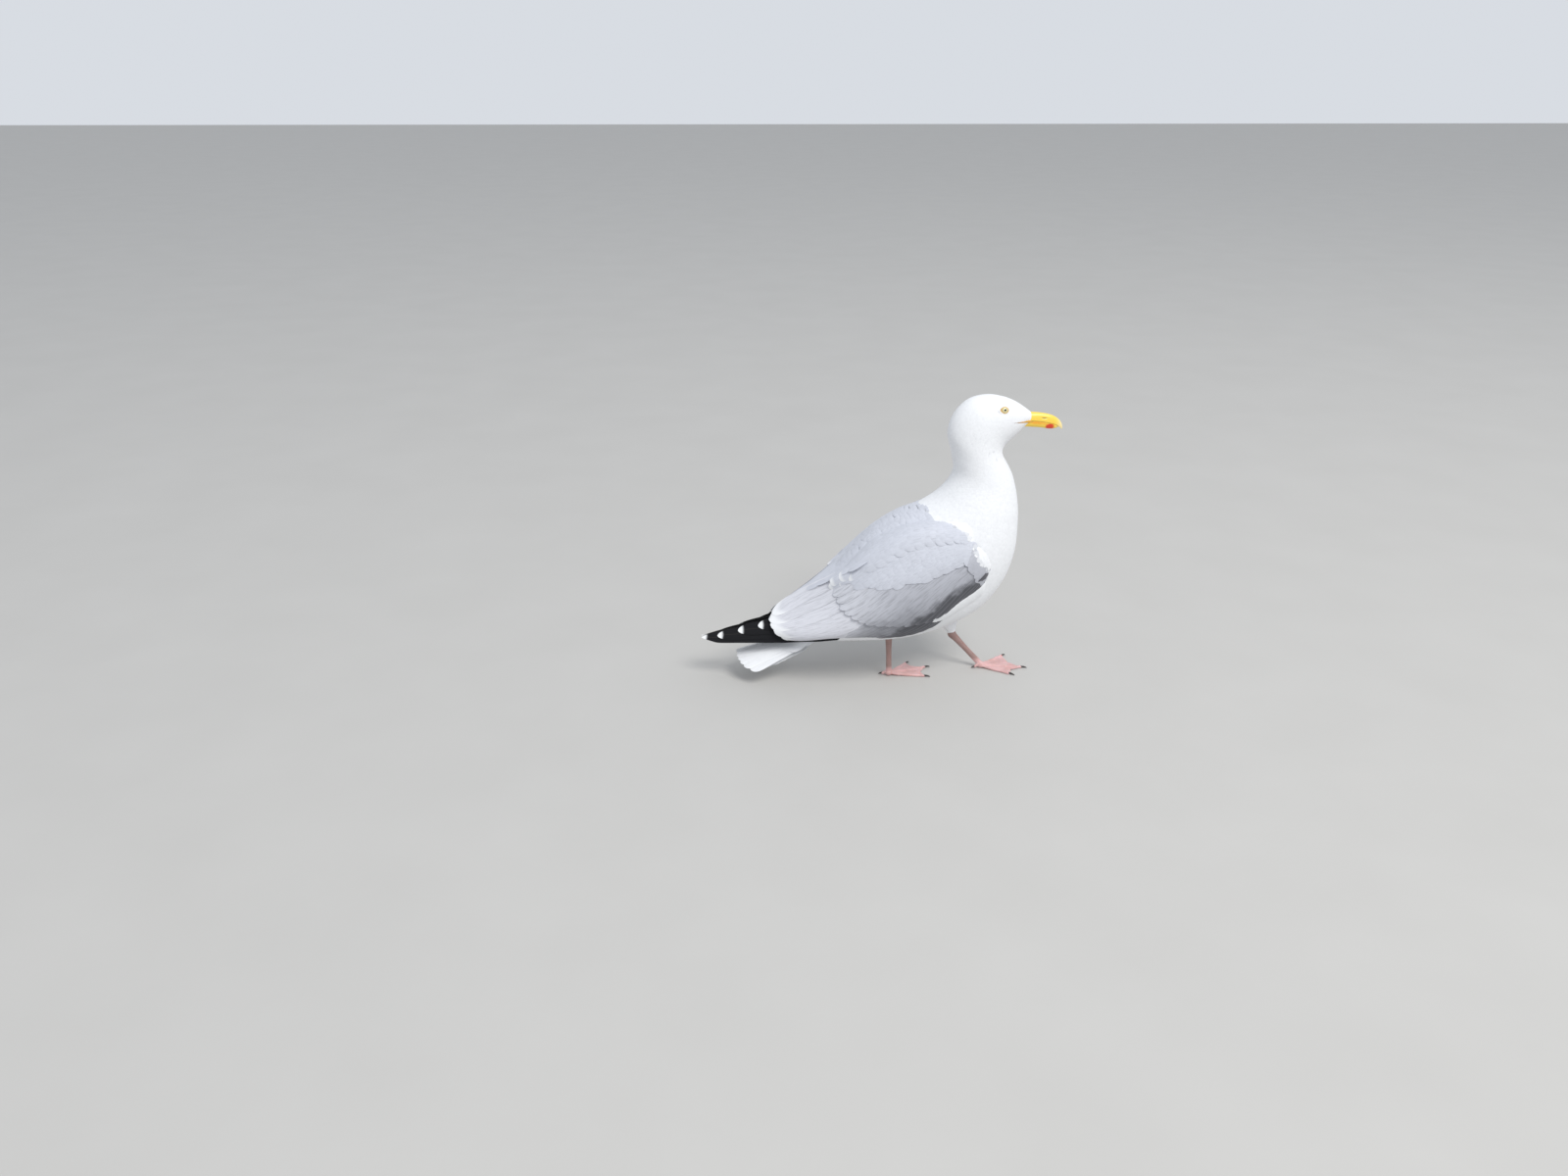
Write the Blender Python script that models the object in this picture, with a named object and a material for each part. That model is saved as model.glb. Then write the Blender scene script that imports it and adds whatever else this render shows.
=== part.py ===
"""A herring gull, life size, standing in mid-stride: the solids of a still museum model.

One unit is a metre. +X is the way the bird faces, +Z is up, the right wing is on the -Y side, and the
origin lies on the floor under the middle of the bird. Shapes are given in millimetres and scaled by MM.
"""

import math

import bmesh
import bpy
import numpy as np

MM = 0.001

# Driving dimensions, in millimetres.
HALF_LENGTH = 241.0  # the bill tip and the wing tips are this far before and behind the origin
GAP = 0.3  # clear space between neighbouring solids
BODY_SIDES = 24  # points round a section of the body
LEG_SIDES = 8  # points round a section of a leg
TOE_SIDES = 6  # points round a section of a toe or claw
TAIL_LENGTH = 146.0
TAIL_FEATHERS = 12
EYE_RADIUS = 6.5
EYE_CENTRE = (159.5, 15.3, 382.3)
FLOOR_CUT = 20.0  # depth of the block that trims the soles flat

# The body as stations from the bill's base to the rump. Each is the point on the upper outline (x, z), the
# point on the lower outline (x, z), and the half width of the section between them.
HEAD_AND_NECK = [
    ((199, 375.5), (187, 354.5), 8.5),
    ((189, 383), (183, 350), 14),
    ((176, 391), (176, 343), 18.5),
    ((160, 397), (168.5, 335.5), 22),
    ((138, 399.7), (164.5, 329.5), 25),
    ((115, 393.3), (163.5, 323.5), 27.5),
    ((97.5, 375), (165.5, 316.5), 29),
    ((90, 350), (170.5, 308), 30.5),
    ((96.5, 321), (179.5, 290), 33),
    ((99.5, 297), (187, 261), 37.5),
    ((86, 274), (190, 230), 46),
]
TRUNK = HEAD_AND_NECK[-2:] + [
    ((61, 254.5), (188, 184), 55),
    ((28, 240), (174, 141), 61),
    ((-5, 217), (146, 104), 64),
    ((-37, 184), (107, 80), 64),
    ((-68, 146), (66, 66), 60),
    ((-92, 113), (25, 60), 52),
    ((-108, 90), (-25, 59), 40),
    ((-118, 73), (-70, 57), 26),
    ((-127, 60), (-104, 50), 13),
]
HEAD_ENDS_AT = 6.5  # station where the head meets the neck
NECK_ENDS_AT = 10.0  # station where the neck meets the trunk
BODY_CUT = 0.004  # of a station: half the clear space where the head, neck and trunk are parted
MANTLE_SPAN = (11.15, 15.7)  # stations between which the grey mantle and scapulars cover the back
MANTLE_HALF_ARC = math.radians(62)  # how far the mantle reaches down either side of a section
MANTLE_DEPTH = 7.0
MANTLE_RISE = 0.8  # the mantle's feathers stand this far over the trunk's own surface
MANTLE_ACROSS = 11  # points across each face of the mantle

# The folded right wing as stations from its bend to the tertials' tips. Each is a point on its upper edge,
# one on the middle of its bulge, and one on its lower edge, all (x, outward distance, z).
WING = [
    ((133, 52, 208), (143, 54, 194), (148, 50, 176)),
    ((112, 54, 226), (130, 66, 190), (137, 53, 152)),
    ((77, 56, 231), (93, 72, 178), (107, 56, 128)),
    ((35, 54, 225), (49, 75, 158), (66, 58, 97)),
    ((-4, 48, 202), (5, 75, 135), (20, 59, 83)),
    ((-37, 36, 178), (-34, 70, 115), (-25, 57, 79)),
    ((-65, 19, 156), (-70, 57, 99), (-66, 50, 76)),
    ((-104, 4, 129), (-107, 41, 88), (-104, 38, 68)),
    ((-145, 2.5, 98), (-140, 26, 82), (-128, 31, 68)),
]
TERTIALS_START_AT = 6.1  # wing station where the coverts and secondaries give way to the tertials
WING_CUT = 0.009  # of a station: half the clear space where the tertials are parted from the arm
WING_THICKNESS = 9.0
TERTIALS_THICKNESS = 6.3
WING_EDGE = 2.2
FULL_CHORD = 30.0  # where a blade is narrower than this it thins towards its edges' thickness

# The closed primaries of the right wing, given in the same way, from under the tertials to the tip.
PRIMARIES = [
    ((-46, 48, 82), (-45, 51, 79), (-44, 52, 74)),
    ((-92, 14, 104), (-90, 34, 86), (-84, 43, 69)),
    ((-136, 4.5, 97), (-133, 21, 78), (-126, 31, 62)),
    ((-180, 4, 82), (-178, 13, 70), (-172, 22, 59)),
    ((-213, 3.5, 70), (-213, 9, 64), (-212, 14, 58)),
    ((-HALF_LENGTH, 2.6, 61.5), (-HALF_LENGTH, 4, 60), (-HALF_LENGTH, 5.4, 58.5)),
]
PRIMARIES_THICKNESS = 5.0
PRIMARIES_EDGE = 1.2

# The tail slopes down and back from its root inside the rump.
TAIL_ROOT = (-52.0, 78.0)
TAIL_DROP = math.radians(18.0)
TAIL_ROOT_HALF_WIDTH = 15.0
TAIL_TIP_HALF_WIDTH = 39.0
TAIL_THICKNESS = 2.4
TAIL_DROOP = 18.0  # how far the sides hang below the middle at the tail's end
TAIL_ROUNDING = 24.0  # how much shorter the outermost feathers end than the middle ones
TAIL_SCALLOP = 2.5  # how far the round tip of each feather stands out from the notches beside it

# The two mandibles as stations from inside the head to the tip: a point on the culmen (x, z) and one on the
# cutting edge, or one on the cutting edge and one on the keel, with the half width there.
UPPER_MANDIBLE = [
    ((167, 374), (167, 366.5), 8.6),
    ((186, 376.7), (184, 366), 8.2),
    ((200, 376.3), (198, 365.5), 6.6),
    ((213, 375), (211, 364.3), 5.2),
    ((225, 372.3), (222, 362.2), 4.4),
    ((234, 367.5), (230.5, 359.8), 3.5),
    ((239.2, 361.6), (235.5, 357.3), 2.5),
    ((HALF_LENGTH, 356.5), (238.3, 354.9), 1.5),
    ((240.9, 353.2), (239.8, 353.0), 0.6),
]
LOWER_MANDIBLE = [
    ((167, 366.5), (167, 360), 8.2),
    ((184, 366), (185, 357.3), 7.8),
    ((198, 365.5), (199, 356.2), 6.2),
    ((211, 364.3), (212, 355.2), 4.9),
    ((222, 362.2), (224, 353.6), 4.1),
    ((230.5, 359.8), (231.5, 354.2), 3.2),
    ((236, 357.3), (236.2, 355.9), 1.5),
]

# Legs: the ankle and the joint of the toes, (x, y, z), for the planted right leg and the stepping left one.
RIGHT_LEG = {"ankle": (19, -20, 67), "toes": (22, -9, 5), "turn": 22.0}
LEFT_LEG = {"ankle": (113.5, 20, 49), "toes": (155, 13, 5), "turn": -4.0}
THIGH_TOP_RISE = 42.0  # how far inside the body the feathered thigh starts
THIGH_TOP_RADIUS = 17.0
THIGH_END_RADIUS = 6.5
THIGH_ENDS_AT = 0.78  # of the way from the thigh's top to the ankle
SHANK_DEPTHS = [(0.0, 6.0, 4.4), (0.14, 4.9, 3.5), (0.5, 4.1, 2.8), (0.85, 4.2, 3.1), (1.0, 3.9, 3.4)]
# Toes: length without the claw, angle outwards from the middle toe, root radius.
TOES = {
    "inner": (45.0, -29.0, 3.0),
    "middle": (59.0, 0.0, 3.3),
    "outer": (51.0, 30.0, 3.0),
}
LEFT_OUTER_SPREAD = 17.0  # the stepping foot spreads its outer toe this many degrees wider
TOE_START = 1.7  # each toe starts this far out from the middle of the knuckle
TOE_TIP_RADIUS = 1.9
TOE_SINK = 0.84  # height of a toe's middle over the floor, in half heights, so the sole is trimmed flat
KNUCKLE_RADIUS = 5.6
KNUCKLE_SHAPE = (1.05, 0.95, 0.9)  # of its radius, along the foot, across it and upwards
KNUCKLE_AT = (0.13, -0.11, 4.6)  # from the toes' joint, and above the floor; off the toes' own planes
KNUCKLE_TURN = (0.03, 0.02, 0.4)  # radians, so that none of its faces lies in a face of a toe
WEB_THICKNESS = 1.3
WEB_HEIGHT = 1.75
CLAW_LENGTH = 7.0
HIND_TOE_LENGTH = 10.0
HIND_TOE_RADII = (2.6, 1.7)  # at its root and at its end
HIND_TOE_RISE = 3.0  # its root is this far above the joint of the other toes
HIND_TOE_DROP = 6.0
HIND_CLAW_LENGTH = 4.0
HIND_CLAW_RADIUS = 1.4


def clear_scene():
    """Removes every object that the file opens with."""
    for obj in list(bpy.data.objects):
        bpy.data.objects.remove(obj, do_unlink=True)


def new_collection(name):
    """An empty collection in the scene."""
    made = bpy.data.collections.new(name)
    bpy.context.scene.collection.children.link(made)
    return made


def new_material(name, colour, roughness):
    """A matt or glossy surface of one colour, with nothing metallic in it."""
    made = bpy.data.materials.new(name)
    made.use_nodes = True
    shader = made.node_tree.nodes["Principled BSDF"]
    shader.inputs["Base Color"].default_value = (*colour, 1.0)
    shader.inputs["Roughness"].default_value = roughness
    shader.inputs["Metallic"].default_value = 0.0
    return made


def smooth(rows, at):
    """Catmull-Rom curve through the rows of a table, read at the station numbers in at."""
    rows = np.asarray(rows, float)
    at = np.clip(np.asarray(at, float), 0, len(rows) - 1)
    first = np.minimum(at.astype(int), len(rows) - 2)
    t = (at - first)[:, None]
    padded = np.vstack([2 * rows[0] - rows[1], rows, 2 * rows[-1] - rows[-2]])
    a, b, c, d = (padded[first + k] for k in range(4))
    return b + 0.5 * t * (c - a + t * (2 * a - 5 * b + 4 * c - d + t * (3 * (b - c) + d - a)))


def flat_table(stations):
    """Stations of nested tuples as rows of plain numbers."""
    return [np.hstack([np.ravel(part) for part in station]) for station in stations]


def sections(table, at, sides):
    """Rings of points: each an ellipse between the upper and the lower outline, as wide as the table says."""
    rows = smooth(flat_table(table), at)
    top, bottom, half_width = rows[:, 0:2], rows[:, 2:4], rows[:, 4]
    angle = np.arange(sides) * 2 * math.pi / sides
    along, across = np.cos(angle), np.sin(angle)
    middle, reach = (top + bottom) / 2, (top - bottom) / 2
    rings = np.empty((len(rows), sides, 3))
    rings[:, :, 0] = middle[:, :1] + reach[:, :1] * along
    rings[:, :, 2] = middle[:, 1:] + reach[:, 1:] * along
    rings[:, :, 1] = half_width[:, None] * across
    return rings


def add_mesh(name, mesh, material, collection):
    """An object for a mesh, smooth but for its edges sharper than 40 degrees."""
    mesh.materials.append(material)
    mesh.shade_smooth()
    mesh.set_sharp_from_angle(angle=math.radians(40))
    obj = bpy.data.objects.new(name, mesh)
    collection.objects.link(obj)
    return obj


def loft(name, rings, material, collection, plate=False):
    """A closed solid skinned over rings of points in millimetres. Each end is closed by a fan, or on a
    plate, whose rings run out along one face and back along the other, by a strip between the faces."""
    bm = bmesh.new()
    made = [[bm.verts.new(point * MM) for point in ring] for ring in rings]
    count = len(made[0])
    for one, two in zip(made, made[1:]):
        for i in range(count):
            j = (i + 1) % count
            bm.faces.new((one[i], one[j], two[j], two[i]))
    for ring, points in ((made[0], rings[0]), (made[-1], rings[-1])):
        if plate:
            for i in range(count // 2 - 1):
                bm.faces.new((ring[i], ring[i + 1], ring[count - 2 - i], ring[count - 1 - i]))
            continue
        hub = bm.verts.new(points.mean(axis=0) * MM)
        for i in range(count):
            bm.faces.new((ring[i], ring[(i + 1) % count], hub))
    bmesh.ops.recalc_face_normals(bm, faces=bm.faces)
    bmesh.ops.triangulate(bm, faces=bm.faces)
    mesh = bpy.data.meshes.new(name)
    bm.to_mesh(mesh)
    bm.free()
    return add_mesh(name, mesh, material, collection)


def mirrored(rings, side):
    """The rings for the right side (-1) or the left side (+1), from rings measured outwards."""
    placed = np.array(rings, float)
    placed[:, :, 1] *= side
    return placed


def blade(table, at, thickness, edge, across=9):
    """Rings for a curved plate. Each station's outer face is a Bezier arc over its three points, and the
    inner face lies under it by a thickness that falls from the middle to the two edges."""
    rows = smooth(flat_table(table), at)
    top, bulge, bottom = rows[:, None, 0:3], rows[:, None, 3:6], rows[:, None, 6:9]
    control = 2 * bulge - (top + bottom) / 2
    v = np.linspace(0, 1, across)[None, :, None]
    outer = (1 - v) ** 2 * top + 2 * v * (1 - v) * control + v**2 * bottom
    along_wing = np.gradient(outer, axis=0)
    down_wing = np.gradient(outer, axis=1)
    inward = np.cross(along_wing, down_wing)
    inward /= np.linalg.norm(inward, axis=2, keepdims=True)
    inward *= -np.sign(inward[:, :, 1].mean())
    chord = np.linalg.norm(top - bottom, axis=2, keepdims=True)
    depth = edge + (thickness - edge) * np.sin(math.pi * v) * np.clip(chord / FULL_CHORD, 0, 1)
    inner = outer + inward * depth
    return np.concatenate([outer, inner[:, ::-1]], axis=1)


def sweep(path, wide, deep, sides, turn=0.0):
    """Rings of ellipses across a path. wide is the half width sideways, deep the half width fore and aft.
    turn is the heading of the limb in degrees, about +Z."""
    path = np.asarray(path, float)
    tangent = np.gradient(path, axis=0)
    tangent /= np.linalg.norm(tangent, axis=1, keepdims=True)
    heading = math.radians(turn)
    sideways = np.array([-math.sin(heading), math.cos(heading), 0.0])
    sideways = sideways - tangent * (tangent @ sideways)[:, None]
    sideways /= np.linalg.norm(sideways, axis=1, keepdims=True)
    forward = np.cross(sideways, tangent)
    angle = np.arange(sides) * 2 * math.pi / sides
    wide, deep = np.broadcast_to(wide, len(path)), np.broadcast_to(deep, len(path))
    return (
        path[:, None]
        + sideways[:, None] * np.cos(angle)[None, :, None] * wide[:, None, None]
        + forward[:, None] * np.sin(angle)[None, :, None] * deep[:, None, None]
    )


def grown(obj):
    """A hidden copy of obj whose faces stand out by the gap, to cut its neighbours with."""
    copy = obj.copy()
    copy.modifiers.clear()
    copy.data = obj.data.copy()
    copy.name = "cutter_" + obj.name
    copy.hide_render = True
    copy.display_type = "WIRE"
    cutters.objects.link(copy)
    push = copy.modifiers.new("clearance", "DISPLACE")
    push.strength = GAP * MM
    push.mid_level = 0.0
    return copy


def cut(obj, *others):
    """Takes each of the other solids, with the gap round it, out of obj."""
    for other in others:
        boolean(obj, grown(other), "DIFFERENCE")


def boolean(obj, other, operation):
    """Joins another closed solid to obj, or takes it out of obj."""
    modifier = obj.modifiers.new(operation.lower() + "_" + other.name[:40], "BOOLEAN")
    modifier.operation = operation
    modifier.solver = "EXACT"
    modifier.object = other


def make_body():
    """Head, neck and trunk: one smooth form parted by two thin cuts."""
    whole = HEAD_AND_NECK + TRUNK[2:]
    head = np.linspace(0, HEAD_ENDS_AT - BODY_CUT, 14)
    neck = np.linspace(HEAD_ENDS_AT + BODY_CUT, NECK_ENDS_AT - BODY_CUT, 8)
    trunk = np.linspace(NECK_ENDS_AT + BODY_CUT, len(whole) - 1, 17)
    return (
        loft("head", sections(whole, head, BODY_SIDES), white, bird),
        loft("neck", sections(whole, neck, BODY_SIDES), white, bird),
        loft("trunk", sections(whole, trunk, BODY_SIDES), white, bird),
    )


def make_mantle():
    """The grey back between the wings: a plate that follows the trunk's surface from just above it."""
    whole = HEAD_AND_NECK + TRUNK[2:]
    rows = smooth(flat_table(whole), np.linspace(*MANTLE_SPAN, 9))
    angle = np.linspace(-MANTLE_HALF_ARC, MANTLE_HALF_ARC, MANTLE_ACROSS)[None, :, None]
    middle, reach = (rows[:, 0:2] + rows[:, 2:4]) / 2, (rows[:, 0:2] - rows[:, 2:4]) / 2
    faces = []
    for shrink in (-MANTLE_RISE, MANTLE_DEPTH):
        inset = 1 - shrink / np.linalg.norm(reach, axis=1)[:, None, None]
        face = np.empty((len(rows), MANTLE_ACROSS, 3))
        face[:, :, 0::2] = middle[:, None] + reach[:, None] * np.cos(angle) * inset
        face[:, :, 1] = (rows[:, 4:5] - shrink) * np.sin(angle[0, :, 0])
        faces.append(face)
    rings = np.concatenate([faces[0], faces[1][:, ::-1]], axis=1)
    return loft("mantle", rings, grey, bird, plate=True)


def make_wing(side_name, side):
    """One folded wing: the arm with its coverts and secondaries, the tertials, and the closed primaries."""
    arm_at = np.linspace(0, TERTIALS_START_AT - WING_CUT, 11)
    tertials_at = np.linspace(TERTIALS_START_AT + WING_CUT, len(WING) - 1, 5)
    primaries_at = np.linspace(0, len(PRIMARIES) - 1, 9)
    arm = blade(WING, arm_at, WING_THICKNESS, WING_EDGE)
    tertials = blade(WING, tertials_at, TERTIALS_THICKNESS, WING_EDGE)
    primaries = blade(PRIMARIES, primaries_at, PRIMARIES_THICKNESS, PRIMARIES_EDGE, across=7)
    made = (
        loft("wing_" + side_name, mirrored(arm, side), grey, bird, plate=True),
        loft("tertials_" + side_name, mirrored(tertials, side), grey, bird, plate=True),
        loft("primaries_" + side_name, mirrored(primaries, side), black, bird, plate=True),
    )
    cut(made[0], made[2])
    cut(made[1], made[2])
    return made


def make_tail():
    """The half-closed tail: a thin arched fan whose end shows the round tip of each feather."""
    along = np.linspace(0, 1, 6)
    across = np.linspace(-1, 1, 2 * TAIL_FEATHERS + 1)
    half_width = TAIL_ROOT_HALF_WIDTH + (TAIL_TIP_HALF_WIDTH - TAIL_ROOT_HALF_WIDTH) * along
    s, v = np.meshgrid(along, across, indexing="ij")
    feather_tip = TAIL_SCALLOP * np.abs(np.sin(math.pi * (v + 1) / 2 * TAIL_FEATHERS))
    length = TAIL_LENGTH - TAIL_ROUNDING * np.abs(v) ** 2.5 - TAIL_SCALLOP + feather_tip
    reach = s * length
    x = TAIL_ROOT[0] - reach * math.cos(TAIL_DROP)
    z = TAIL_ROOT[1] - reach * math.sin(TAIL_DROP) - TAIL_DROOP * v**2 * s**0.7
    y = half_width[:, None] * v
    upper = np.stack([x, y, z], axis=2)
    lower = upper - np.array([-math.sin(TAIL_DROP), 0, math.cos(TAIL_DROP)]) * TAIL_THICKNESS
    return loft("tail", np.concatenate([upper, lower[:, ::-1]], axis=1), white, bird, plate=True)


def mandible(name, table, rows, lift):
    """One mandible: a rounded roof or keel over a narrow flat bite. lift moves the bite off the other one."""
    rows = smooth(flat_table(table), np.linspace(0, len(table) - 1, rows))
    bite, far = (rows[:, 2:4], rows[:, 0:2]) if lift > 0 else (rows[:, 0:2], rows[:, 2:4])
    angle = np.linspace(0, math.pi, 9)[None, :, None]
    bite = bite + np.array([0, lift])
    profile = bite[:, None] + (far - bite)[:, None] * np.sin(angle) ** 0.8
    rings = np.empty((len(rows), 9, 3))
    rings[:, :, 0] = profile[:, :, 0]
    rings[:, :, 1] = rows[:, 4:5] * np.cos(angle[0, :, 0])
    rings[:, :, 2] = profile[:, :, 1]
    return loft(name, rings, yellow, bird)


def make_bill():
    """Two mandibles, meeting along the cutting edge. The upper one ends in a short hook."""
    return (
        mandible("bill_upper", UPPER_MANDIBLE, 15, GAP / 2),
        mandible("bill_lower", LOWER_MANDIBLE, 11, -GAP / 2),
    )


def make_eye(side_name, side):
    """An eyeball, most of it inside the head."""
    bm = bmesh.new()
    bmesh.ops.create_uvsphere(bm, u_segments=12, v_segments=7, radius=EYE_RADIUS * MM)
    mesh = bpy.data.meshes.new("eye_" + side_name)
    bm.to_mesh(mesh)
    bm.free()
    eye = add_mesh("eye_" + side_name, mesh, iris, bird)
    x, outward, z = EYE_CENTRE
    eye.location = (x * MM, side * outward * MM, z * MM)
    return eye


def toe_depth(s, radius):
    """Half height of a toe, s of the way along it."""
    return 0.9 * (radius + (TOE_TIP_RADIUS - radius) * s)


def toe_path(leg, side, name):
    """Points down the middle of a toe, from the toes' joint to its claw."""
    length, spread, radius = TOES[name]
    if name == "outer" and side > 0:
        spread += LEFT_OUTER_SPREAD
    heading = math.radians(leg["turn"] + side * spread)
    s = np.linspace(0, 1, 5)
    rise = TOE_SINK * toe_depth(s, radius) + 2.0 * (1 - s) ** 4
    reach = TOE_START + s * (length - TOE_START)
    x = leg["toes"][0] + reach * math.cos(heading)
    y = leg["toes"][1] + reach * math.sin(heading)
    return np.stack([x, y, rise], axis=1), math.degrees(heading)


def make_claw(name, root, heading_deg, length, radius):
    """A short curved claw that runs on from the end of a toe and dips to the floor."""
    heading = math.radians(heading_deg)
    s = np.linspace(0, 1, 4)
    reach = GAP + s * length
    drop = (root[2] - 0.8) * s**2
    x = root[0] + reach * math.cos(heading)
    y = root[1] + reach * math.sin(heading)
    z = root[2] + 0.5 * np.sin(s * math.pi) - drop
    thick = radius * (1 - 0.72 * s)
    rings = sweep(np.stack([x, y, z], axis=1), thick, thick, TOE_SIDES, heading_deg)
    return loft(name, rings, horn, bird)


def make_web(leg, side, first, second):
    """The skin between two toes: a thin plate from the toes' joint, hollowed at its free edge."""
    one, _ = toe_path(leg, side, first)
    two, _ = toe_path(leg, side, second)
    s = np.linspace(0.06, 0.96, 3)[:, None, None]
    v = np.linspace(0, 1, 6)[None, :, None]
    start = np.array(leg["toes"])[None, None, :]
    hollow = 1 - 0.42 * (v * (1 - v))
    end = (1 - v) * one[-1] + v * two[-1]
    points = start + (end - start) * s * hollow
    points[:, :, 2] = WEB_HEIGHT + (1 - s[:, :, 0]) * 1.6 + 0.9 * v[:, :, 0] * (1 - v[:, :, 0])
    under = points - np.array([0, 0, WEB_THICKNESS])
    return loft("web_piece", np.concatenate([points, under[:, ::-1]], axis=1), pink, cutters, plate=True)


def make_knuckle(leg):
    """The swollen joint that the toes spring from."""
    bm = bmesh.new()
    bmesh.ops.create_uvsphere(bm, u_segments=9, v_segments=6, radius=KNUCKLE_RADIUS * MM)
    bmesh.ops.scale(bm, vec=KNUCKLE_SHAPE, verts=bm.verts)
    mesh = bpy.data.meshes.new("knuckle_piece")
    bm.to_mesh(mesh)
    bm.free()
    knuckle = add_mesh("knuckle_piece", mesh, pink, cutters)
    x, y, _ = leg["toes"]
    ahead, aside, above = KNUCKLE_AT
    knuckle.location = ((x + ahead) * MM, (y + aside) * MM, above * MM)
    knuckle.rotation_euler = KNUCKLE_TURN
    return knuckle


def make_foot(side_name, side, leg, shank):
    """Three long toes joined by webs, a small hind toe, and their claws. The soles are trimmed flat."""
    toes = []
    for name, (_, _, radius) in TOES.items():
        path, heading = toe_path(leg, side, name)
        deep = toe_depth(np.linspace(0, 1, len(path)), radius)
        rings = sweep(path, deep / 0.9, deep, TOE_SIDES, heading)
        toes.append(loft("toe_piece", rings, pink, cutters))
        last, before = path[-1], path[-2]
        end = last + (last - before) / np.linalg.norm(last - before) * 0.02
        make_claw("claw_" + name + "_" + side_name, end, heading, CLAW_LENGTH, TOE_TIP_RADIUS * 0.8)
    foot = toes[1]
    foot.name = "foot_" + side_name
    cutters.objects.unlink(foot)
    bird.objects.link(foot)
    back = math.radians(leg["turn"] + 180 + side * 25)
    hind = np.array([math.cos(back), math.sin(back), 0])
    start = np.array(leg["toes"], float) + np.array([0, 0, HIND_TOE_RISE])
    s = np.linspace(0, 1, 5)[:, None]
    hind_path = start + hind * s * HIND_TOE_LENGTH - np.array([0, 0, HIND_TOE_DROP]) * s
    hind_thick = np.interp(s[:, 0], [0, 1], HIND_TOE_RADII)
    hind_rings = sweep(hind_path, hind_thick, hind_thick, TOE_SIDES, math.degrees(back))
    pieces = [make_knuckle(leg), toes[0], toes[2], loft("toe_piece", hind_rings, pink, cutters)]
    pieces += [make_web(leg, side, "inner", "middle"), make_web(leg, side, "middle", "outer")]
    for piece in pieces:
        piece.hide_render = True
        piece.display_type = "WIRE"
        boolean(foot, piece, "UNION")
    hind_end = hind_path[-1] + 0.7 * hind
    make_claw("claw_hind_" + side_name, hind_end, math.degrees(back), HIND_CLAW_LENGTH, HIND_CLAW_RADIUS)
    boolean(foot, floor_block, "DIFFERENCE")
    cut(foot, shank)


def make_leg(side_name, side, leg):
    """The feathered thigh, the bare shank with its ankle knob, and the foot."""
    ankle, toes = np.array(leg["ankle"], float), np.array(leg["toes"], float)
    knee = ankle + np.array([-12.0, side * 5.0, THIGH_TOP_RISE])
    rows = smooth(SHANK_DEPTHS, np.linspace(0, len(SHANK_DEPTHS) - 1, 9))
    bare = ankle + (toes - ankle) * rows[:, :1]
    above = ankle + (knee - ankle) * np.array([[0.42], [0.28], [0.12]])
    path = np.concatenate([above, bare])
    deep = np.concatenate([[4.0, 4.2, 5.2], rows[:, 1]])
    wide = np.concatenate([[3.2, 3.4, 4.0], rows[:, 2]])
    shank = loft("shank_" + side_name, sweep(path, wide, deep, LEG_SIDES), pink, bird)
    s = np.linspace(0, 1, 5)[:, None]
    thigh_path = knee + (ankle - knee) * (THIGH_ENDS_AT * s)
    thick = THIGH_TOP_RADIUS - (THIGH_TOP_RADIUS - THIGH_END_RADIUS) * s[:, 0] ** 1.3
    thigh = loft("thigh_" + side_name, sweep(thigh_path, thick, thick * 1.2, LEG_SIDES), white, bird)
    cut(thigh, shank)
    make_foot(side_name, side, leg, shank)
    return thigh, shank


def make_floor_block():
    """A hidden block whose top is the floor, to trim the soles with."""
    bm = bmesh.new()
    bmesh.ops.create_cube(bm, size=1.0)
    size = (0.6, 0.4, FLOOR_CUT * MM)
    bmesh.ops.scale(bm, vec=size, verts=bm.verts)
    bmesh.ops.translate(bm, vec=(0, 0, -FLOOR_CUT * MM / 2), verts=bm.verts)
    mesh = bpy.data.meshes.new("floor_block")
    bm.to_mesh(mesh)
    bm.free()
    block = bpy.data.objects.new("floor_block", mesh)
    cutters.objects.link(block)
    block.hide_render = True
    block.display_type = "WIRE"
    return block


clear_scene()
bird = new_collection("herring_gull")
cutters = new_collection("cutters")
white = new_material("white_plumage", (0.90, 0.91, 0.93), 0.85)
grey = new_material("grey_mantle", (0.55, 0.58, 0.64), 0.85)
black = new_material("black_primaries", (0.03, 0.03, 0.035), 0.6)
yellow = new_material("bill_horn", (0.95, 0.62, 0.08), 0.4)
pink = new_material("pink_leg_skin", (0.85, 0.52, 0.50), 0.6)
horn = new_material("claw_horn", (0.10, 0.08, 0.08), 0.4)
iris = new_material("eye", (0.85, 0.78, 0.45), 0.15)
floor_block = make_floor_block()

head, neck, trunk = make_body()
mantle = make_mantle()
tail = make_tail()
bill_upper, bill_lower = make_bill()
for side_name, side, leg in (("right", -1, RIGHT_LEG), ("left", 1, LEFT_LEG)):
    arm, tertials, primaries = make_wing(side_name, side)
    thigh, shank = make_leg(side_name, side, leg)
    eye = make_eye(side_name, side)
    cut(head, eye)
    cut(mantle, arm, tertials, primaries)
    cut(trunk, arm, tertials, primaries, thigh, shank)
cut(trunk, mantle, tail)
cut(bill_lower, bill_upper)
cut(head, bill_upper, bill_lower)
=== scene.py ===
"""A herring gull in mid-stride, as a museum model: skin, coat of feathers, bill, eyes, legs and claws.

Shapes are worked out in millimetres and put into the meshes in metres. +X is the way the bird faces, +Z is
up, and outward distances are towards +Y on the left side and -Y on the right.
"""

import math

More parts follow.
